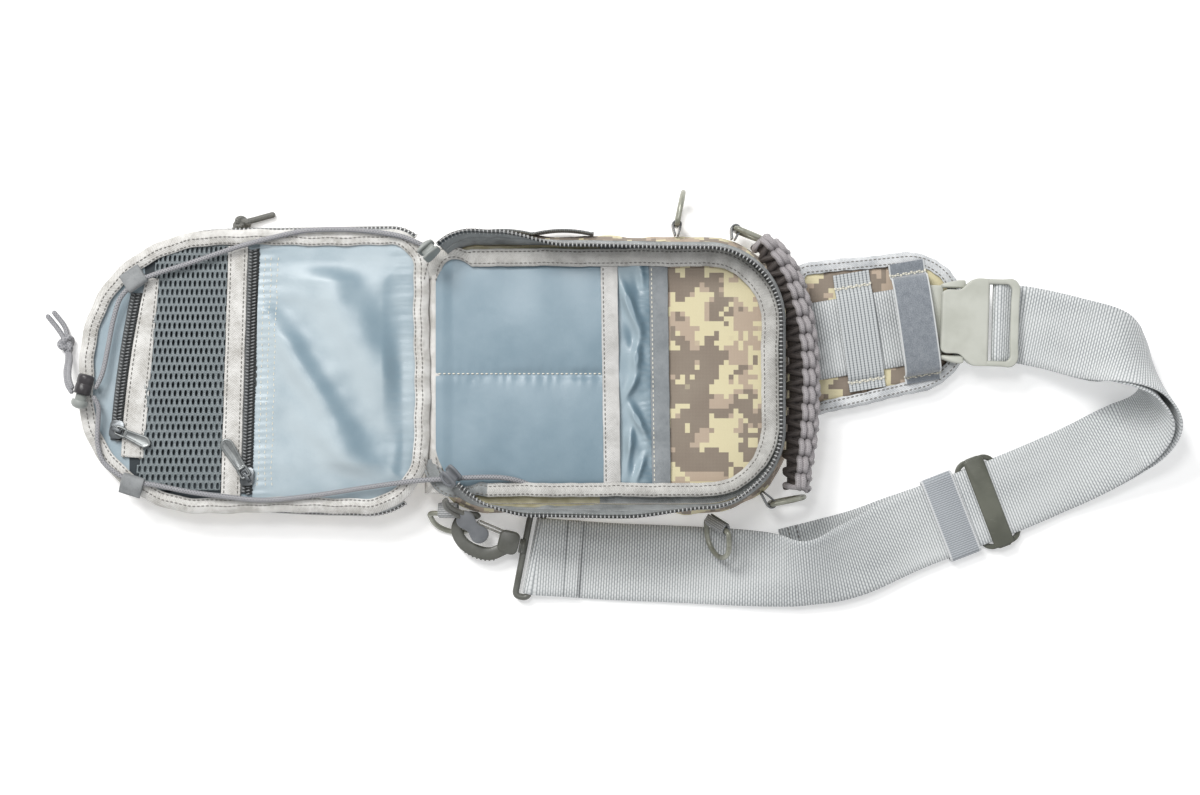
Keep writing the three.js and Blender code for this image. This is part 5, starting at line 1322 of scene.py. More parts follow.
def half_zip(name, edge, out, up, wide, node, seed):
    """Half an open zip: a tape on edge and, along its far side, the coil's loops."""
    s = distances(edge)
    deep = wide - 4.2
    section = repeat(slab(0.45, 0, deep, 0.3, 3), len(s))
    section[..., 0] += 0.25 * wander(s, seed, 30)[:, None]
    shape = Shape().tube(sweep(edge, out, up, section), spread=band_map(s, section[..., 1]))
    run = even(np.concatenate([edge + (wide - 2.5) * up, up, out], 1), int(s[-1] / TOOTH_PITCH))
    at, ways, faces = run[:, :3], unit(run[:, 3:6]), unit(run[:, 6:])
    shape.tube(beads(at, ways, faces, *OPEN_LOOP), finish=1)
    core = slab(0.85, -1.7, 1.7, 0.4, 3)
    shape.tube(sweep(edge + (wide - 2.4) * up, out, up, core), finish=2)
    return shape.make(name, [ZIP_TAPE, OPEN_COIL, BLACK_CORE], "zip_tape", node)


def make_body_zip():
    """The body's half of the open zip."""
    *_, edge, out, up = zip_foot()
    half_zip("body_zip_half", edge, out, up, ZIP_WIDE, "body_zip", 51)


# Front unit


def front_top(x):
    """The front unit's upper face, sloping from the hinge to its end."""
    return lerp(FRONT_END, FRONT_HINGE, (x - FRONT["left"]) / (FRONT["right"] - FRONT["left"]))


def lining_zip_x(y):
    """The x of the lining pocket's zip at y."""
    return -231.4 + 0.031 * y


def mesh_edge_x(y):
    """The x of the mesh's outer edge at y."""
    return -296 + 0.09 * y


def mesh_zip_x(y):
    """The x of the mesh pocket's zip at y, along a shallow bow."""
    return -313.5 + 0.135 * y + 0.0008 * y * y


def make_front_walls():
    """The front unit's side wall, its resting face in two layers, and the backing of its pockets, which is
    painted dark behind the mesh as painted shade."""
    run, outs = box_run(FRONT, 3)
    section = repeat(thick_curve([(-5, 0.03), (-2.4, 0.5), (-3.4, 1)], WALL_THICK), len(run))
    section[..., 1] *= front_top(run[:, :1])
    shape = Shape().hoop(wall(run, outs, section, 0.6, 13))
    shape.make("front_wall", [CAMO_WALL], "camouflage_cloth", "front_gusset")
    face = panel_grid(FRONT, 7.4, lambda x, y: 1.1 + 0 * x, 90, 60, 0.25, 15)
    under = face * np.array([1, 1, 0]) + np.array([0, 0, 0.2])
    shape = Shape().grid(face).grid(under, face_up=False)
    shape.make("front_face_cloth", [CAMO_FLAT], "camouflage_cloth", "front_face")
    panel = panel_grid(FRONT, 6, lambda x, y: front_top(x) - 0.3, 90, 60, 0.15, 17)
    x, y = face_middles(panel)
    # painted shade: the backing behind the mesh takes the near-black finish
    painted_shade_behind_mesh = (x > mesh_edge_x(y) - 9) & (x < lining_zip_x(y) - 8)
    shade = Shape().grid(panel, finish=np.where(painted_shade_behind_mesh, 0, 1))
    shade.make("front_backing", [PAINTED_SHADE_BACKING, LIT_FRONT_LINING], "lining_cloth", "front_panel")


def lining_height(x, y):
    """The loose lining above its backing: a broad belly, a few soft folds and small creases, held down at
    its edge, and puckers along the zip and the binding."""
    left, right = lining_zip_x(y) + 4.4, LINING_RIGHT
    s = np.clip((x - left) / (right - left), 0, 1)
    t = np.clip((y - FRONT["bottom"]) / (FRONT["top"] - FRONT["bottom"]), 0, 1)
    belly = 3 * np.sin(np.pi * s) ** 0.6 * np.sin(np.pi * t) ** 0.6
    to_ends = np.minimum(FRONT["top"] - 18 - y, y - FRONT["bottom"] - 18)
    free = smooth(np.minimum(to_ends, right - 8 - x) / 14, 0, 1)
    puckers = 0.3 * wander(y, 19, 16) * np.exp(-(((x - right + 9) / 9) ** 2))
    zip_puckers = 0.3 * np.sin(y * 1.3 + 2 * wander(y, 23, 40)) * np.exp(-(((x - left - 3) / 6) ** 2))
    creases = 0.55 * crumple(x, y, 25, 42) + 0.25 * crumple(x, y, 26, 17)
    lift = belly * 0.3 + (0.7 * belly + ridges(x, y, LINING_FOLDS) + creases) * free
    return 0.7 * lift + puckers + zip_puckers


def lining_top(x, y):
    """The height of the lining pocket's cloth over the floor, a little above its backing at the least."""
    return front_top(x) + 1.1 + np.maximum(-0.5, lining_height(x, y))


def make_lining_pocket():
    """The loose lining beside the zip, with three rows of stitches along it."""
    s, t = shares(120, 150)
    low, high = box_span(FRONT, lerp(-227, LINING_RIGHT, s), 7)
    y = lerp(low, high, t)
    x = lerp(lining_zip_x(y) + 3.4, LINING_RIGHT, s)
    points = np.stack([x, y, lining_top(x, y)], -1)
    shape = Shape().grid(points, spread=np.stack([x, y], -1))
    for k in range(3):
        line_y = np.linspace(-70, 74, 80)
        line_x = lining_zip_x(line_y) + 7 + 4.2 * k + 0.7 * wander(line_y, 60 + k, 30)
        line = np.stack([line_x, line_y, lining_top(line_x, line_y) + 0.05], -1)
        stitch_row(shape, line, UP, 1, 2.0, 0.7, 3.4)
    pocket = shape.make("lining_pocket_cloth", [LIT_FRONT_LINING, PALE_THREAD], "lining_cloth", "lining_pocket")
    paint_slope_light(pocket, points)


def make_mesh_pocket():
    """The mesh as bricks laid in offset rows, each a ring of faces from its border over a raised strand
    to an oval hole; twelve border points match those of the bricks around it."""
    wide, long = MESH_BRICK
    border = np.array([
        (0.5, 0), (0.5, 0.5), (0.25, 0.5), (0, 0.5), (-0.25, 0.5), (-0.5, 0.5),
        (-0.5, 0), (-0.5, -0.5), (-0.25, -0.5), (0, -0.5), (0.25, -0.5), (0.5, -0.5),
    ]) * MESH_BRICK
    turn = np.arctan2(border[:, 1] / long, border[:, 0] / wide)
    hole = np.stack([np.cos(turn), np.sin(turn)], -1) * MESH_HOLE
    rings = np.stack([border, lerp(border, hole, 0.5), hole * 1.06, hole], 0)
    heights = np.array(MESH_RINGS)[:, None]
    j, i = np.meshgrid(np.arange(MESH_ROWS), np.arange(MESH_COLUMNS), indexing="ij")
    local_x = ((i + 0.5 * (j % 2)) * wide).reshape(-1, 1, 1) + rings[None, ..., 0]
    y = MESH_BOTTOM + ((j + 0.5) * long).reshape(-1, 1, 1) + rings[None, ..., 1]
    left, right = mesh_edge_x(y) - 1.6, lining_zip_x(y) - 15.4
    x = left + (right - left) * (local_x / (MESH_COLUMNS * wide))
    across, along = (x - left) / (right - left), (y - MESH_BOTTOM) / MESH_LONG
    belly = 2.4 * np.sin(np.pi * np.clip(across, 0, 1)) * np.sin(np.pi * np.clip(along, 0, 1))
    z = front_top(x) + GAP + 0.5 + belly + heights + 0.35 * crumple(x, y, 71, 30)
    low, high = box_span(FRONT, x, 5)
    shape = Shape().grid(np.stack([x, np.clip(y, low, high), z], -1), around=True)
    net = shape.make("mesh_pocket_net", [MESH], "mesh_cloth", "mesh_pocket")
    weld(net.data, 0.004)


def front_line(edge, shift, low, high):
    """A line over the front unit's face beside an edge given as x for y, and the direction across it."""
    y = np.linspace(low, high, 90)
    x = edge(y) + shift
    points = np.stack([x, y, front_top(x) + GAP], -1)
    way = tangents(points)
    return points, unit(np.cross(way, UP))


def make_mesh_hems():
    """The tapes on both sides of the mesh: an even one by the lining's zip, and one that fills the
    tapering gap to the mesh pocket's zip."""
    finishes = [WHITE_TAPE, GREY_THREAD]
    inner = front_line(lining_zip_x, -10.4, -78, 82)
    strip("mesh_inner_tape", inner, 6.3, 1.7, finishes, "binding_tape", "mesh_hem_inner", 81, [-4.4, 4.4])
    y = np.linspace(-53, 62, 70)
    left, right = mesh_zip_x(y) + 3.6, mesh_edge_x(y) + 0.2
    middle = (left + right) / 2
    half = (right - left) / 2
    line = np.stack([middle, y, front_top(middle) + GAP], -1)
    out = unit(np.cross(tangents(line), UP))
    section = repeat(slab(1, 0, 1.7, 0.35), len(y))
    section[..., 0] *= half[:, None]
    section[..., 1] += 0.2 * wander(y, 83, 24)[:, None] * (section[..., 1] > 0.5)
    shape = Shape().tube(sweep(line, out, upright(line), section), spread=band_map(y, section[..., 0]))
    for share in (-0.72, 0.72):
        stitch_row(shape, line + (share * half)[:, None] * out + 1.8 * UP, UP, 1)
    shape.make("mesh_outer_tape", finishes, "binding_tape", "mesh_hem_outer")


def make_front_binding():
    """The tape round the front unit: its section carried round the edge, uneven and puckered by sums of
    sines that close after one turn, with two rows of stitches."""
    run, outs = box_run(FRONT, 2)
    s = distances(run)
    share = s / (s[-1] + 2) * 2 * np.pi
    section = repeat(rounded(FRONT_BINDING_SECTION, 1.5, 4), len(run))
    unevenness = 0.35 * np.sin(9 * share + 1) + 0.3 * np.sin(23 * share) + 0.22 * np.sin(57 * share + 2)
    crossing = 0.42 * np.sin(141 * share + 3 * np.sin(11 * share)) * np.sin(5 * share + 1) ** 2
    aside = 0.5 * np.sin(7 * share) + 0.3 * np.sin(31 * share + 1)
    section[..., 1] += front_top(run[:, :1]) + unevenness[:, None] * 0.6
    section[..., 1] += crossing[:, None] * (section[..., 0] < 0)
    section[..., 0] += aside[:, None]
    spread = closed_map(s, section[..., 0] + 3)
    shape = Shape().hoop(sweep(run, outs, upright(run), section), spread=spread)
    for offset, height in ((-7.2, 3.55), (-3.4, 4.3)):
        rise = front_top(run[:, 0]) + height + unevenness * 0.6 + crossing
        stitch_row(shape, run + (offset + aside)[:, None] * outs + rise[:, None] * UP, UP, 1)
    shape.make("front_binding_tape", [WHITE_TAPE, GREY_THREAD], "binding_tape", "front_binding")


def make_front_zip():
    """The front unit's half of the open zip, folded under all round but at the hinge."""
    run, outs = box_run(FRONT, 2)
    first = int(np.argmax(outs[:, 0] > 0.6))
    run, outs = np.roll(run, -first, 0), np.roll(outs, -first, 0)
    keep = outs[:, 0] < 0.6
    run, outs = run[keep], outs[keep]
    (angle,) = read(FRONT_ZIP_LEAN, np.linspace(0, 1, len(run)))
    out, up = lean(outs, 180 - angle)
    edge = run - 0.9 * outs + (front_top(run[:, 0]) - 1.5)[:, None] * UP
    half_zip("front_zip_half", edge, out, up, 13, "front_zip", 53)


def shut_zip(name, edge, low, high, node):
    """A closed zip lying flat: a narrow tape and two rows of loops that mesh along the middle."""
    points, out = front_line(edge, 0, low, high)
    section = slab(4.2, 0, 0.8, 0.3, 3)
    shape = Shape().tube(sweep(points, out, upright(points), section))
    count = int(distances(points)[-1] / TOOTH_PITCH * 1.25)
    for side in (-1, 1):
        run = even(np.concatenate([points, out], 1), 2 * count + 1)[(0 if side > 0 else 1) :: 2]
        at = run[:, :3] + side * 1.5 * run[:, 3:] + 1.3 * UP
        ways = unit(run[:, 3:] + 0.25 * side * tangents(run[:, :3]))
        shape.tube(beads(at, ways, upright(at), *SHUT_LOOP), finish=1)
    shape.make(name, [FLAT_TAPE, SHUT_COIL], "zip_tape", node)


make_rear_wall()
make_organizer_panel()
make_slip_pocket()
make_pocket_hems()
make_upper_pocket()
make_body_binding()
make_clamshell_wall()
make_body_zip()
make_front_walls()
make_lining_pocket()
make_mesh_pocket()
make_mesh_hems()
make_front_binding()
make_front_zip()
shut_zip("lining_zip_coil", lining_zip_x, -76, 80, "lining_zip")
shut_zip("mesh_zip_coil", mesh_zip_x, -42, 52, "mesh_zip")

# Rings and their loops


def ring_path():
    """A D of wire in its own plane: the bar on the y axis, two corners, two legs and a half-round bow."""
    half, corner = RING_WIDE / 2, 2.6

    def arc(x, y, radius, start, stop, steps):
        turn = np.radians(np.linspace(start, stop, steps))
        return np.stack([x + radius * np.cos(turn), y + radius * np.sin(turn), 0 * turn], -1)

    parts = [
        arc(corner, corner - half, corner, 180, 270, 8),
        arc(RING_LEG, 0, half, -90, 90, 40),
        arc(corner, half - corner, corner, 90, 180, 8),
    ]
    fine = np.concatenate(parts + [parts[0][:1]])
    return even(fine, 110)[:-1]


def folded_band(route, thick, half, steps=8):
    """A folded band: a smooth line through a route of [along, height] points and its copy set in by the
    thickness, joined as a closed section, carried from -half to half in y and drawn in a little at both
    ends. Gives local points and the cloth map."""
    outer = curve(route, 40)
    way = unit(np.gradient(outer, axis=0))
    inner = outer + thick * np.stack([-way[:, 1], way[:, 0]], -1)
    section = np.concatenate([outer, inner[::-1]])
    middle = (outer + inner) / 2
    middle = np.concatenate([middle, middle[::-1]])
    y = np.concatenate([[-half, -half + 0.35], np.linspace(-half + 1, half - 1, steps), [half - 0.35, half]])
    full = np.concatenate([[0.45, 0.85], np.ones(steps), [0.85, 0.45]])[:, None, None]
    flat = middle + (section - middle) * full
    points = np.stack([flat[..., 0], np.broadcast_to(y[:, None], flat.shape[:2]), flat[..., 1]], -1)
    along = distances(outer)
    return points, band_map(y, np.concatenate([along, along[::-1]]))[..., ::-1]


def make_rings():
    """The D-rings, and the webbing loops folded round their bars."""
    for name, (at, bow, bar, away, reach, wide) in RINGS.items():
        path = put(ring_path(), at, bow, bar)
        across = axes(bow, bar)[2]
        side = np.cross(tangents(path, True), across)
        ring = Shape().hoop(sweep(path, side, np.broadcast_to(across, path.shape), circle(WIRE / 2, 14)))
        body = RING_BODIES.get(name, "bag")
        ring.make(f"ring_{name}_wire", [OLIVE_METAL], "olive_metal", f"ring_{name}", body)
        bar = np.array(bar, float)
        away = np.array(away, float)
        out = away - bar * (away @ bar) / (bar @ bar)
        points, spread = folded_band([(-reach, -1.5), *LOOP_FOLD, (-reach, 1.5)], 1.15, wide / 2)
        loop = Shape().tube(put(points, at, out, bar), spread=spread)
        loop.make(f"loop_{name}_web", [LOOP_WEB], "webbing", f"loop_{name}")


make_rings()

# Handle


def make_handle():
    """A braided bar: rings of dark cord that cross over a core, slanting by turns, and along the upper
    edge pairs of light cords that bow out from knot to knot like links. It narrows towards both ends."""
    path = curve(HANDLE_ROUTE, 400)
    s = distances(path)
    way = tangents(path)
    flat = unit(np.cross(way, UP))
    tilt = math.radians(HANDLE_TILT)
    out = flat * math.cos(tilt) + np.cross(way, flat) * math.sin(tilt)
    up = np.cross(out, way)
    narrow = lerp(0.72, 1, smooth(np.minimum(s, s[-1] - s), 0, 34))
    rails = np.concatenate([path, out * narrow[:, None], up], 1)

    def bent(along, across, height):
        """Points at a distance along the handle, across it and above it."""
        along = np.clip(along, 0, s[-1])
        at, side, rise = np.split(np.stack([np.interp(along, s, column) for column in rails.T], -1), 3, -1)
        return at + np.asarray(across)[..., None] * side + np.asarray(height)[..., None] * rise

    def strand(along, across, height, radius, sides=10):
        line = bent(along, across, height)
        way = tangents(line)
        side = unit(np.cross(way, UP + np.array([0.13, 0.07, 0])))
        return sweep(line, side, np.cross(way, side), circle(radius, sides))

    def hoop(along, wide, high, radius):
        """A closed turn of cord round the core."""
        line = bent(along, wide * np.cos(turn), high * np.sin(turn))
        aside = unit(np.cross(tangents(line, True), bent(along, 0 * turn, 0 * turn) - line))
        return sweep(line, aside, np.cross(tangents(line, True), aside), circle(radius, 10))

    shape = Shape()
    turn = np.linspace(0, 2 * np.pi, 40, endpoint=False)
    tau = np.linspace(-1, 1, 26)
    every = np.linspace(0, s[-1], 120)
    around = circle(1, 14)
    every, wide = np.meshgrid(every, HANDLE_CORE[0] * around[:, 0], indexing="ij")
    shape.tube(bent(every, wide, HANDLE_CORE[1] * around[:, 1] + 0 * wide), finish=1)
    pitch = s[-1] / HANDLE_KNOTS
    for knot in range(HANDLE_KNOTS):
        middle = (knot + 0.5) * pitch
        for side in (-1, 1):
            along = middle + side * (0.25 * pitch + 2.1 * np.cos(turn))
            shape.hoop(hoop(along, *HANDLE_TURN), finish=1)
        for shift, across, height in HANDLE_LINKS:
            along = middle + (shift + 0.43 * tau) * pitch
            line = strand(along, across + 2.4 * tau**2 - 0.7 * tau, height - 6.5 * tau**4, 2.1)
            shape.tube(line, finish=0)
    for end in (2.0, s[-1] - 2.0):
        shape.hoop(hoop(end + 0 * turn, *HANDLE_WHIPPING), finish=0)
    shape.make("handle_braid", [LIGHT_BRAID, DARK_BRAID], "braid_cord", "handle")


make_handle()

# Shoulder yoke


def yoke_put(local):
    """Points from the yoke's own axes to the bag's."""
    turn = math.radians(YOKE_TURN)
    return put(local, YOKE_AT, (math.cos(turn), math.sin(turn), 0), (0, 1, 0))


def make_yoke_binding():
    """The tape round the yoke pad: its section carried round the edge, which narrows to the tip and
    slants at the bag's side, uneven by sums of sines that close after one turn, with two rows of
    stitches."""
    run, outs = box_run(YOKE, 2)
    y = run[:, 1] * lerp(1, YOKE_TIP, run[:, 0] / YOKE["right"])
    x = run[:, 0] + y * math.tan(math.radians(YOKE_TURN)) * (1 - run[:, 0] / YOKE["right"])
    run = np.stack([x, y, 0 * x], -1)
    s = distances(run)
    share = s / (s[-1] + 2) * 2 * np.pi
    section = repeat(rounded(YOKE_BINDING_SECTION, 0.8, 4), len(run))
    wave = 0.25 * np.sin(17 * share) + 0.16 * np.sin(43 * share + 1) + 0.12 * np.sin(90 * share)
    section[..., 1] += wave[:, None] * (section[..., 1] > 13)
    section[..., 0] += (0.3 * np.sin(9 * share) + 0.2 * np.sin(37 * share))[:, None]
    across = section[..., 0] + np.where(section[..., 1] < 13, 13 - section[..., 1], 0)
    grid = yoke_put(sweep(run, outs, upright(run), section))
    shape = Shape().hoop(grid, spread=closed_map(s, across))
    for offset, height in ((-6.6, 15.7), (-2.6, 15.75)):
        line = run + offset * outs + (height + wave)[:, None] * UP
        stitch_row(shape, yoke_put(line), UP, 1)
    shape.make("yoke_binding_edge", [YOKE_TAPE, GREY_THREAD], "binding_tape", "yoke_binding")


def web_section(half, thick, columns):
    """Flat webbing's section: its lower face, one point on each rounded edge, and its upper face."""
    across = np.linspace(-half + 0.5, half - 0.5, columns)
    top = np.stack([across[::-1], 0 * across + thick / 2], -1)
    low = np.stack([across, 0 * across - thick / 2], -1)
    return np.concatenate([low, [(half, 0)], top, [(-half, 0)]])


def flat_web(path, out, half, thick):
    """Flat webbing along a path, and its cloth map along and across."""
    up = unit(np.cross(out, tangents(path)))
    section = web_section(half, thick, 9)
    return sweep(path, out, up, section), band_map(distances(path), section[:, 0])


def make_yoke_bands():
    """The yoke's webbing and, across it, the ribbed elastic and the loop strip, each sewn down by two
    zigzags at both ends."""
    x = np.linspace(12, 92, 60)
    path = np.stack([x, 0 * x - 2, 15.25 + 0.25 * wander(x, 91, 40)], -1)
    grid, spread = flat_web(path, np.broadcast_to([0.0, 1.0, 0.0], path.shape), STRAP_WIDE / 2, STRAP_THICK)
    shape = Shape().tube(yoke_put(grid), spread=spread)
    shape.make("yoke_web", [STRAP_WEB], "webbing", "yoke_webbing")
    bands = (
        ("yoke_elastic_band", ELASTIC_ROWS, 31.5, ELASTIC, "grey_tape", "yoke_elastic", 0.32, (-32.5, 28.5)),
        ("yoke_loop_band", STRIP_ROWS, 67.6, PILE, "loop_pile", "yoke_loop_strip", 0.0, (-35, 31)),
    )
    for name, rows, left, finish, slot, node, rib, seams in bands:
        path = curve([(left + 0.02 * y, y, z + 0.2) for y, z in rows], 150)
        out = np.broadcast_to([1.0, 0.0, 0.0], path.shape)
        up = unit(np.cross(out, tangents(path)))
        across = np.linspace(0.3, YOKE_BAND - 0.3, 81)
        crown = 1.0 + rib * np.abs(np.sin(ELASTIC_RIBS * np.pi * across / YOKE_BAND)) ** 0.8
        foot = [(0.2, 0.2), (YOKE_BAND - 0.2, 0.2)]
        section = np.concatenate([foot, np.stack([across, crown], -1)[::-1]])
        spread = band_map(distances(path), section[:, 0])
        shape = Shape().tube(yoke_put(sweep(path, out, up, section)), spread=spread)
        for seam in seams:
            for k in range(2):
                step = np.linspace(0.6, YOKE_BAND - 0.6, 40)
                zig = seam + 0.8 * k + 0.5 * np.sin(step * 2.2 + k)
                height = np.interp(zig, path[:, 1], path[:, 2]) + 1.3 + rib
                line = np.stack([left + step + 0.02 * zig, zig, height], -1)
                stitch_row(shape, yoke_put(line), UP, 1, 1.7, 0.9, 1.9)
        shape.make(name, [finish, PALE_THREAD], slot, node)


make_yoke_binding()
make_yoke_bands()

# Strap


def width_of(heading, rise):
    """The direction of a strap's width from its heading in plan and its rise, in degrees."""
    h, r = np.radians(heading), np.radians(rise)
    return np.stack([np.cos(h) * np.cos(r), np.sin(h) * np.cos(r), np.sin(r) + 0 * h], -1)


def route_rows(rows):
    """A route's points, width directions and half distances as columns."""
    rows = np.array(rows, float)
    return np.concatenate([rows[:, :3], width_of(rows[:, 3], rows[:, 4]), rows[:, 5:]], 1)


def round_bar(middle, wide, distance, start, stop, steps):
    """Points at a distance round a bar, from one angle to another in the plane across it, with the
    strap's width."""
    ahead = unit(np.cross(wide, UP))
    angle = np.radians(np.linspace(start, stop, steps))[:, None]
    points = np.array(middle) + distance * (np.cos(angle) * ahead + np.sin(angle) * UP)
    return np.concatenate([points, np.broadcast_to(wide, points.shape)], 1)


def strap_run():
    """The whole strap as one run of points and width directions: sewn end, round the hook's bar, along
    the upper layer to the buckle, round its bar and back along the lower layer to the loose tail."""
    band = curve(route_rows(STRAP_ROUTE), 64)
    middle, wide, apart = band[:, :3], unit(band[:, 3:6]), band[:, 6:]
    normal = unit(np.cross(tangents(middle), wide))
    upper = np.concatenate([middle + normal * apart, wide], 1)
    lower = np.concatenate([middle - normal * apart, wide], 1)[middle[:, 0] > 236][::-1]
    lower = lower[:-1] if len(lower) % 2 else lower
    sewn = np.concatenate(
        [[(-20, -119.4, 5.4), (-36, -118.4, 7.6)], width_of(np.array([84, 81]), np.array([0, 0]))], 1
    )
    hook_turn = round_bar(HOOK_BAR, width_of(HOOK_BAR_HEADING, 0), 3.25, 75, 262, 9)
    bar = put((BUCKLE_BAR, 0, 0), BUCKLE_AT, BUCKLE_X, (0, 1, 0))
    buckle_turn = round_bar(bar, np.array([0.03, 0.9995, 0]), 3.15, -72, -288, 9)
    tail = route_rows(STRAP_TAIL)[:, :6]
    return curve(np.concatenate([sewn, hook_turn, upper, buckle_turn, lower, tail]), 1300)


def make_strap():
    """The strap's webbing, two rows of stitches across each end, and the folded hem of its sewn end."""
    run = strap_run()
    path, wide = run[:, :3], run[:, 3:6]
    way = tangents(path)
    out = unit(wide - way * (wide * way).sum(1, keepdims=True))
    s = distances(path)
    half = STRAP_WIDE / 2
    up = np.cross(way, out)
    section = web_section(half, STRAP_THICK, 13)
    shape = Shape().tube(sweep(path, out, up, section), spread=band_map(s, section[:, 0]))
    hem_up = np.where(up[:, 2:] < 0, -up, up)
    reach = np.linspace(-half + 1.5, half - 1.5, 40)[:, None]
    for place in (4.2, 8.0, s[-1] - 6, s[-1] - 12):
        k = int(np.argmin(np.abs(s - place)))
        line = path[k] + reach * out[k] + (STRAP_THICK / 2 + 0.1) * hem_up[k]
        stitch_row(shape, line, hem_up[k], 1, 2.1, 0.9)
    fold = (s < 11) & (s > 1)
    grid, hem_map = flat_web(path[fold] + (STRAP_THICK * 0.9) * hem_up[fold], out[fold], half - 0.3, 1.2)
    shape.tube(grid, spread=hem_map)
    shape.make("strap_web", [STRAP_WEB, GREY_THREAD], "webbing", "strap")


def make_keeper():
    """A wrapped band round both layers: a flat section carried round a rounded box across the strap."""
    run, outs = box_run(box_of(-27.1, 27.1, -3.7, 5.8, 2.4), 1)
    section = slab(0.8, -10.5, 10.5, 0.5, 3)
    grid = sweep(run, outs, upright(run), section)
    local = np.stack([grid[..., 2], grid[..., 0], grid[..., 1]], -1)
    shape = Shape().hoop(put(local, *KEEPER), spread=closed_map(distances(run), section[:, 1], 1))
    shape.make("strap_keeper_band", [KEEPER_WEB], "webbing", "strap_keeper")


make_strap()
make_keeper()

# Hard parts


def stacked(outline, rows):
    """A flat solid with eased edges: copies of an outline, moved inwards by each row's inset, at each
    row's height. Gives local points."""
    way = unit(np.roll(outline, -1, 0) - np.roll(outline, 1, 0))
    inward = np.stack([-way[:, 1], way[:, 0]], -1)
    layers = [np.column_stack([outline + inset * inward, np.full(len(outline), z)]) for inset, z in rows]
    return np.stack(layers)


def wire_loop(box, step, radius, sides):
    """A closed loop of round wire whose middle runs round a rounded box."""
    run, outs = box_run(box, step)
    return sweep(run, outs, upright(run), circle(radius, sides))


def lathe(profile, sides=48):
    """A turned solid about the x axis: a profile of [radius, x] carried round."""
    profile = np.array(profile, float)
    turn = 2 * np.pi * np.arange(sides) / sides
    radius, x = profile[:, :1], profile[:, 1:]
    return np.stack([x + 0 * turn, radius * np.cos(turn), radius * np.sin(turn)], -1)


def make_hook():
    """The snap hook: a tapering curved back with grip ribs on a rounded root, its sprung wire gate, and
    the eye with the strap's bar and the swivel's collar."""
    run = curve(HOOK_BACK, 90)
    path, half = run[:, :3], run[:, 3] / 2
    s = distances(path)
    section = repeat(slab(1, -3, 3, 1.0, 6), len(path))
    section[..., 0] *= half[:, None]
    tip = np.minimum(1, np.sqrt(np.clip((s[-1] - s) / 2.2 + 0.1, 0, 1)))
    back = sweep(path, np.cross(tangents(path), UP), upright(path), section * tip[:, None, None])
    shape = Shape().tube(put(back, *HOOK))
    root = outline_of(box_of(1.7, 15, -8, 7, 4), 0.8)
    layers = [(1.3, -3.4), (0.4, -3.1), (0, -2.2), (0, 2.2), (0.4, 3.1), (1.3, 3.4)]
    shape.tube(put(stacked(root, layers), *HOOK))
    ribs = put(curve([(15, 12.6, 0), (21, 14.2, 0), (28, 13.9, 0), (34, 12.2, 0)], 8), *HOOK)
    shape.tube(beads(ribs, upright(ribs), tangents(ribs), 5.2, 1.7, 1.5))
    shape.make("hook_body_moulding", [HOOK_PLASTIC], "charcoal_plastic", "hook_body")

    pin, tip_at = np.array(GATE_PIN), np.array(GATE_TIP)
    long = np.linalg.norm(tip_at - pin)
    direction = unit(tip_at - pin)
    local = wire_loop(box_of(-1.2, long - 0.6, -1.15, 1.15, 1.1), 0.5, 0.72, 10)
    turned = np.stack([
        pin[0] + local[..., 0] * direction[0] - local[..., 1] * direction[1],
        pin[1] + local[..., 0] * direction[1] + local[..., 1] * direction[0],
        local[..., 2],
    ], -1)
    gate = Shape().hoop(put(turned, *HOOK))
    gate.make("hook_gate_wire", [BRIGHT_METAL], "bright_metal", "hook_gate", "hook_gate")

    heading = math.radians(HOOK_BAR_HEADING)
    c, s = math.cos(heading), math.sin(heading)
    eye_place = (HOOK_BAR, (-s, c, 0), (-c, -s, 0))
    eye = Shape().hoop(put(wire_loop(box_of(0, 8.4, -27.6, 27.6, 3), 1, 2.1, 14), *eye_place))
    eye.tube(put(lathe(HOOK_COLLAR, 36) + np.array([0, -4.9, 2]), *eye_place))
    eye.make("hook_eye_moulding", [HOOK_PLASTIC], "charcoal_plastic", "hook_eye")


def make_cord_lock():
    """The cord lock's turned barrel and the button in it."""
    barrel = Shape().tube(put(lathe(LOCK_BARREL), *LOCK))
    barrel.make("cord_lock_shell", [LOCK_PLASTIC], "charcoal_plastic", "cord_lock_barrel")
    button = Shape().tube(put(lathe(LOCK_BUTTON), *LOCK))
    button.make("cord_lock_cap", [BUTTON_PLASTIC], "grey_plastic", "cord_lock_button", "lock_button")


def make_cord_tabs():
    """The folded tape tabs that hold the shock cord to the front unit."""
    for name, (at, way) in CORD_TABS.items():
        points, spread = folded_band(TAB_FOLD, 1.1, 7)
        tab = Shape().tube(put(points, at, way, np.cross(UP, way)), spread=spread)
        tab.make(f"cord_tab_{name}_fold", [TAB_TAPE], "grey_tape", f"cord_tab_{name}")


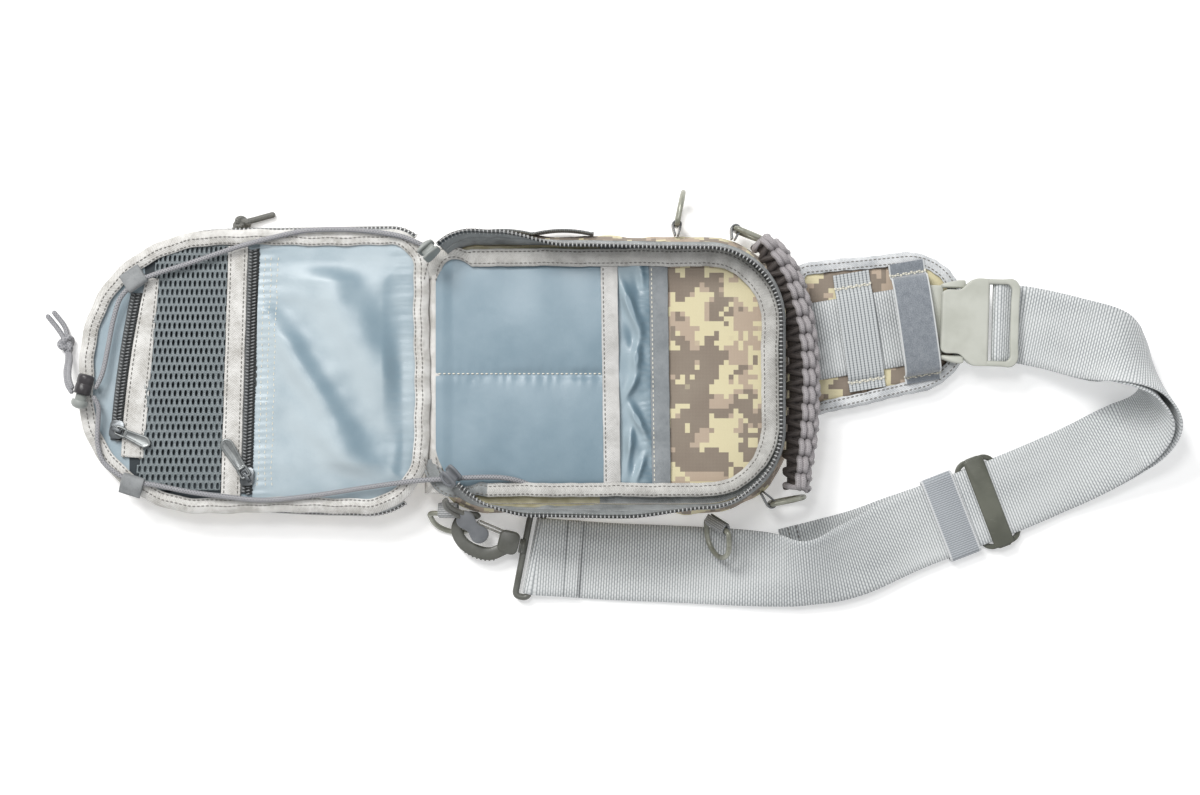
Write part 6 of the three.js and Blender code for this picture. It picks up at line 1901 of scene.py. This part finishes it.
def make_puller():
    """The zip's rubber puller: two round lobes and the waist between them, whose half width rises from
    the waist to the lobes as a smooth step; and the two strands of cord that hold it."""
    turn = np.linspace(0, 2 * np.pi, 64, endpoint=False)
    x = PULLER_HALF * np.cos(turn)
    lobe_at = PULLER_HALF - PULLER_LOBE
    past = np.maximum(abs(x) - lobe_at, 0)
    drawn_in = (PULLER_LOBE - PULLER_WAIST) * (1 - smooth(abs(x), 0, lobe_at))
    half = np.sqrt(np.maximum(PULLER_LOBE**2 - past**2, 0)) - drawn_in
    outline = np.stack([x, np.sign(np.round(np.sin(turn), 9)) * half, 0 * turn], -1)
    rows = [(0.84, 0), (0.96, 0.35), (1, 1.1), (1, 1.7), (0.96, 2.4), (0.84, 2.8), (0.6, 2.95), (0.25, 3)]
    shape = Shape().tube(put(np.stack([outline * scale + z * UP for scale, z in rows]), *PULLER))
    for side in (-1.7, 1.7):
        strand = [(x, side * share + shift, z) for x, share, shift, z in PULLER_STRAND]
        shape.tube(cord_grid(put(curve(strand, 40), *PULLER), 1.5), finish=1)
    shape.make("zip_puller_tab", [PULLER_RUBBER, PULL_BRAID], "grey_plastic", "zip_puller")


def make_end_slider(end, node, name, finish):
    """A slider parked just past one end of the body's zip, on the tape's own axes: two plates that narrow
    towards the chain, the core that joins them, and a low bow over the outer plate for a pull."""
    *_, edge, out, up = zip_foot()
    run = unit(edge[0] - edge[1] if end == 0 else edge[-1] - edge[-2])
    place = (edge[end] + (ZIP_WIDE - 1) * up[end] + 6.8 * run, up[end], run)
    outwards = np.sign(np.dot(np.cross(up[end], run), out[end]))
    outline = rounded([(-3.4, -6), (3.4, -6), (5.2, 1.5), (4.4, 6), (-4.4, 6), (-5.2, 1.5)], 1.8, 4)
    core = slab(2, -4.5, 4.5, 1.2, 3)
    eased = [(1.1, -1), (0.3, -0.8), (0, -0.3), (0, 0.3), (0.3, 0.8), (1.1, 1)]
    shape = Shape()
    for level in (-3.2, 3.2):
        shape.tube(put(stacked(outline, [(inset, level + z) for inset, z in eased]), *place))
    shape.tube(put(stacked(core, [(0, -2.6), (0, 2.6)]), *place))
    bow = [(0, y, outwards * z) for y, z in ((-4.2, 3.6), (-3.4, 5.4), (0, 6.2), (3.4, 5.4), (4.2, 3.6))]
    shape.tube(cord_grid(put(curve(bow, 24), *place), 0.9))
    shape.make(name, [finish], "dark_metal", node)


def make_pull(name, at, pointing, long, wide):
    """A slider's pull: a wire loop whose bar turns under the bridge, and a tab with a raised rim."""
    direction = np.array([math.cos(math.radians(pointing)), math.sin(math.radians(pointing)), 0])
    place = (at, direction, np.cross(UP, direction))
    half = wide / 2
    side = [(5.4, 1.3 - half), (long - 3, -half), (long, 3 - half)]
    outline = rounded(side + [(x, -y) for x, y in reversed(side)], 2.4, 7)
    box = {"left": 0, "right": 7, "bottom": 1.5 - half, "top": half - 1.5, "radii": (1.2, 1.6, 1.6, 1.2)}
    raised = np.array([0, 0, PULL_PIN_HIGH])
    shape = Shape().tube(put(stacked(outline, PULL_ROWS) + raised, *place))
    shape.hoop(put(wire_loop(box, 0.5, 0.78, 10) + raised, *place))
    shape.make(f"{name}_tab", [PULL_METAL], "dark_metal", name, name)


def make_triglide():
    """An adjuster: a flat frame between the strap's layers and, on two posts, a broad bar over it."""
    run, outs = box_run(box_of(-12.3, 12.3, -28.6, 28.6, 7), 1)
    section = slab(1.7, -1.1, 1.1, 0.8)
    shape = Shape().hoop(put(sweep(run, outs, upright(run), section), *TRIGLIDE))
    eased = [(0.9, 0), (0.25, 0.2), (0, 0.7), (0, 1.5), (0.25, 2.1), (1.0, 2.3)]
    bar = outline_of(box_of(-6.6, 6.6, -30, 30, 2.5), 1)
    shape.tube(put(stacked(bar, [(inset, 3.75 + z) for inset, z in eased]), *TRIGLIDE))
    for y in (-28.5, 28.5):
        post = outline_of(box_of(-4.4, 4.4, y - 2.2, y + 2.2, 1), 0.8)
        shape.tube(put(stacked(post, [(0.3, -0.8), (0, -0.4), (0, 4.4), (0.3, 4.8)]), *TRIGLIDE))
    shape.make("triglide_frame", [GLIDE_PLASTIC], "olive_plastic", "triglide")


def make_buckle():
    """A side release buckle: a socket with drawn-in shoulders and, round the strap's bar, an open frame
    whose far rail passes over the strap; and the base and two prongs that show in the socket's
    notches."""
    place = (BUCKLE_AT, BUCKLE_X, (0, 1, 0))
    run = curve(BUCKLE_SHOULDER, 60)
    back, front = BUCKLE_SHOULDER[0][0], BUCKLE_SHOULDER[-1][0]
    ends = np.minimum(1, 0.55 + np.minimum(run[:, 0] - back, front - run[:, 0]) / 2)
    section = repeat(slab(1, -1, 1, 0.09, 5), len(run))
    across = section[..., 0] * run[:, 1:2]
    height = 0.2 + 5.8 * section[..., 1] * ends[:, None] ** 0.5
    socket = np.stack([np.broadcast_to(run[:, :1], across.shape), across, height], -1)
    shape = Shape().tube(put(socket, *place))
    rail = curve(BUCKLE_FRAME + [(x, -y, z) for x, y, z in reversed(BUCKLE_FRAME)], 120)
    section = repeat(slab(1.8, -1, 1, 0.7), len(rail))
    low = lerp(-5.2, 2.5, smooth(rail[:, :1], 15, 19))
    section[..., 1] = lerp(low, 5.8, (section[..., 1] + 1) / 2)
    section[..., 0] *= lerp(1, 1.5, smooth(rail[:, :1], 17, 22))
    shape.tube(put(sweep(rail, np.cross(tangents(rail), UP), upright(rail), section), *place))
    bar = cord_grid(curve([(BUCKLE_BAR, -26, 0), (BUCKLE_BAR, 26, 0)], 20), 2)
    shape.tube(put(bar, *place))
    shape.make("buckle_socket", [BUCKLE_PLASTIC], "grey_plastic", "buckle_female")

    base = outline_of({"left": -41, "right": -22.6, "bottom": -23, "top": 23, "radii": (4, 2, 2, 4)}, 1)
    prongs = Shape().tube(put(stacked(base, [(0.6, -7.3), (0, -6.7), (0, -0.3), (0.6, 0.3)]), *place))
    prong = np.array(BUCKLE_PRONG)
    rows = [(0.8, -6.5), (0, -5.8), (0, 1.8), (0.3, 2.6), (1, 3)]
    for outline in (prong, (prong * (1, -1))[::-1]):
        prongs.tube(put(stacked(rounded(outline, 1.4, 5), rows), *place))
    prongs.make("buckle_prongs", [BUCKLE_PLASTIC], "grey_plastic", "buckle_male")


def make_side_webbing():
    """A band of webbing along the upper side, tacked to the wall and standing off between the tacks."""
    x = np.linspace(-12, -90, 120)
    stand = 1.0 + 2.6 * np.abs(np.sin(np.pi * (x + 90) / 39)) ** 0.8
    path = np.stack([x, 89.2 + stand, 15.5 + 0 * x], -1)
    grid, spread = flat_web(path, upright(path), 12, 1.3)
    shape = Shape().tube(grid, spread=spread)
    for tack in (-13, -51, -89):
        z = np.linspace(5, 26, 40)
        line = np.stack([tack + 0.6 * np.sin(z * 2), 91.2 + 0 * z, z], -1)
        stitch_row(shape, line, np.array([0.0, 1.0, 0.0]), 1, 1.8, 0.8, 2.0)
    shape.make("side_ladder_web", [SIDE_WEB, DARK_THREAD], "webbing")


make_hook()
make_cord_lock()
make_cord_tabs()
make_puller()
make_triglide()
make_buckle()
make_pull("lining_pull", (lining_zip_x(-65), -65, front_top(-234) + 3.1), 122, 28, 9)
make_pull("mesh_pull", (mesh_zip_x(-35), -35, front_top(-317) + 3.2), -24, 24, 8)
make_side_webbing()
for slider in ("lining_slider", "mesh_slider"):
    soften(slider, f"{slider}_body", DARK_METAL, 0.35)
make_end_slider(-1, "zip_slider_upper", "upper_slider_body", BUTTON_PLASTIC)
make_end_slider(0, "zip_slider_lower", "lower_slider_body", PULLER_RUBBER)

# Pads


def swell(pad, small):
    """Where a cloth simulation with air pressure and no gravity takes the points of a smaller pad."""
    cloth = pad.modifiers.new("air", "CLOTH")
    cloth.settings.use_pressure = True
    cloth.settings.uniform_pressure_force = 4
    cloth.settings.effector_weights.gravity = 0
    cloth.settings.quality = 6
    for step in range(1, 21):
        bpy.context.scene.frame_set(step)
    moved = places(pad.evaluated_get(bpy.context.evaluated_depsgraph_get()).data) - small
    far = np.linalg.norm(moved, axis=1, keepdims=True)
    pad.modifiers.clear()
    bpy.context.scene.frame_set(1)
    return small + moved * np.minimum(1, PAD_CAP * MM / np.maximum(far, 1e-9))


def make_pad(node, name, highest):
    """A padded piece: the solid's copy remeshed evenly, drawn in a little and blown up; each point moves
    no further than a cap and stays between the floor and a height."""
    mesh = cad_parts[node].data.copy()
    mesh.name = name
    weld(mesh)
    pad = link(name, mesh)
    remesh = pad.modifiers.new("even", "REMESH")
    remesh.mode = "VOXEL"
    remesh.voxel_size = PAD_VOXEL * MM
    pad.data = bpy.data.meshes.new_from_object(pad.evaluated_get(bpy.context.evaluated_depsgraph_get()))
    pad.modifiers.clear()
    small = places(pad.data) - places(pad.data, "normal") * PAD_SHRINK * MM
    pad.data.vertices.foreach_set("co", small.ravel())
    shown = swell(pad, small)
    shown[:, 2] = np.clip(shown[:, 2], PAD_LOWEST * MM, highest * MM)
    pad.data.vertices.foreach_set("co", shown.ravel())
    coat(pad.data, CAMO_FLAT)
    pad.data.update()
    rounding = pad.modifiers.new("rounding", "SUBSURF")
    rounding.levels = 1
    rounding.render_levels = 1
    dress(pad, node)


make_pad("back_pad", "back_pad_cushion", 9.2)
make_pad("yoke_pad", "yoke_pad_cushion", 14.4)
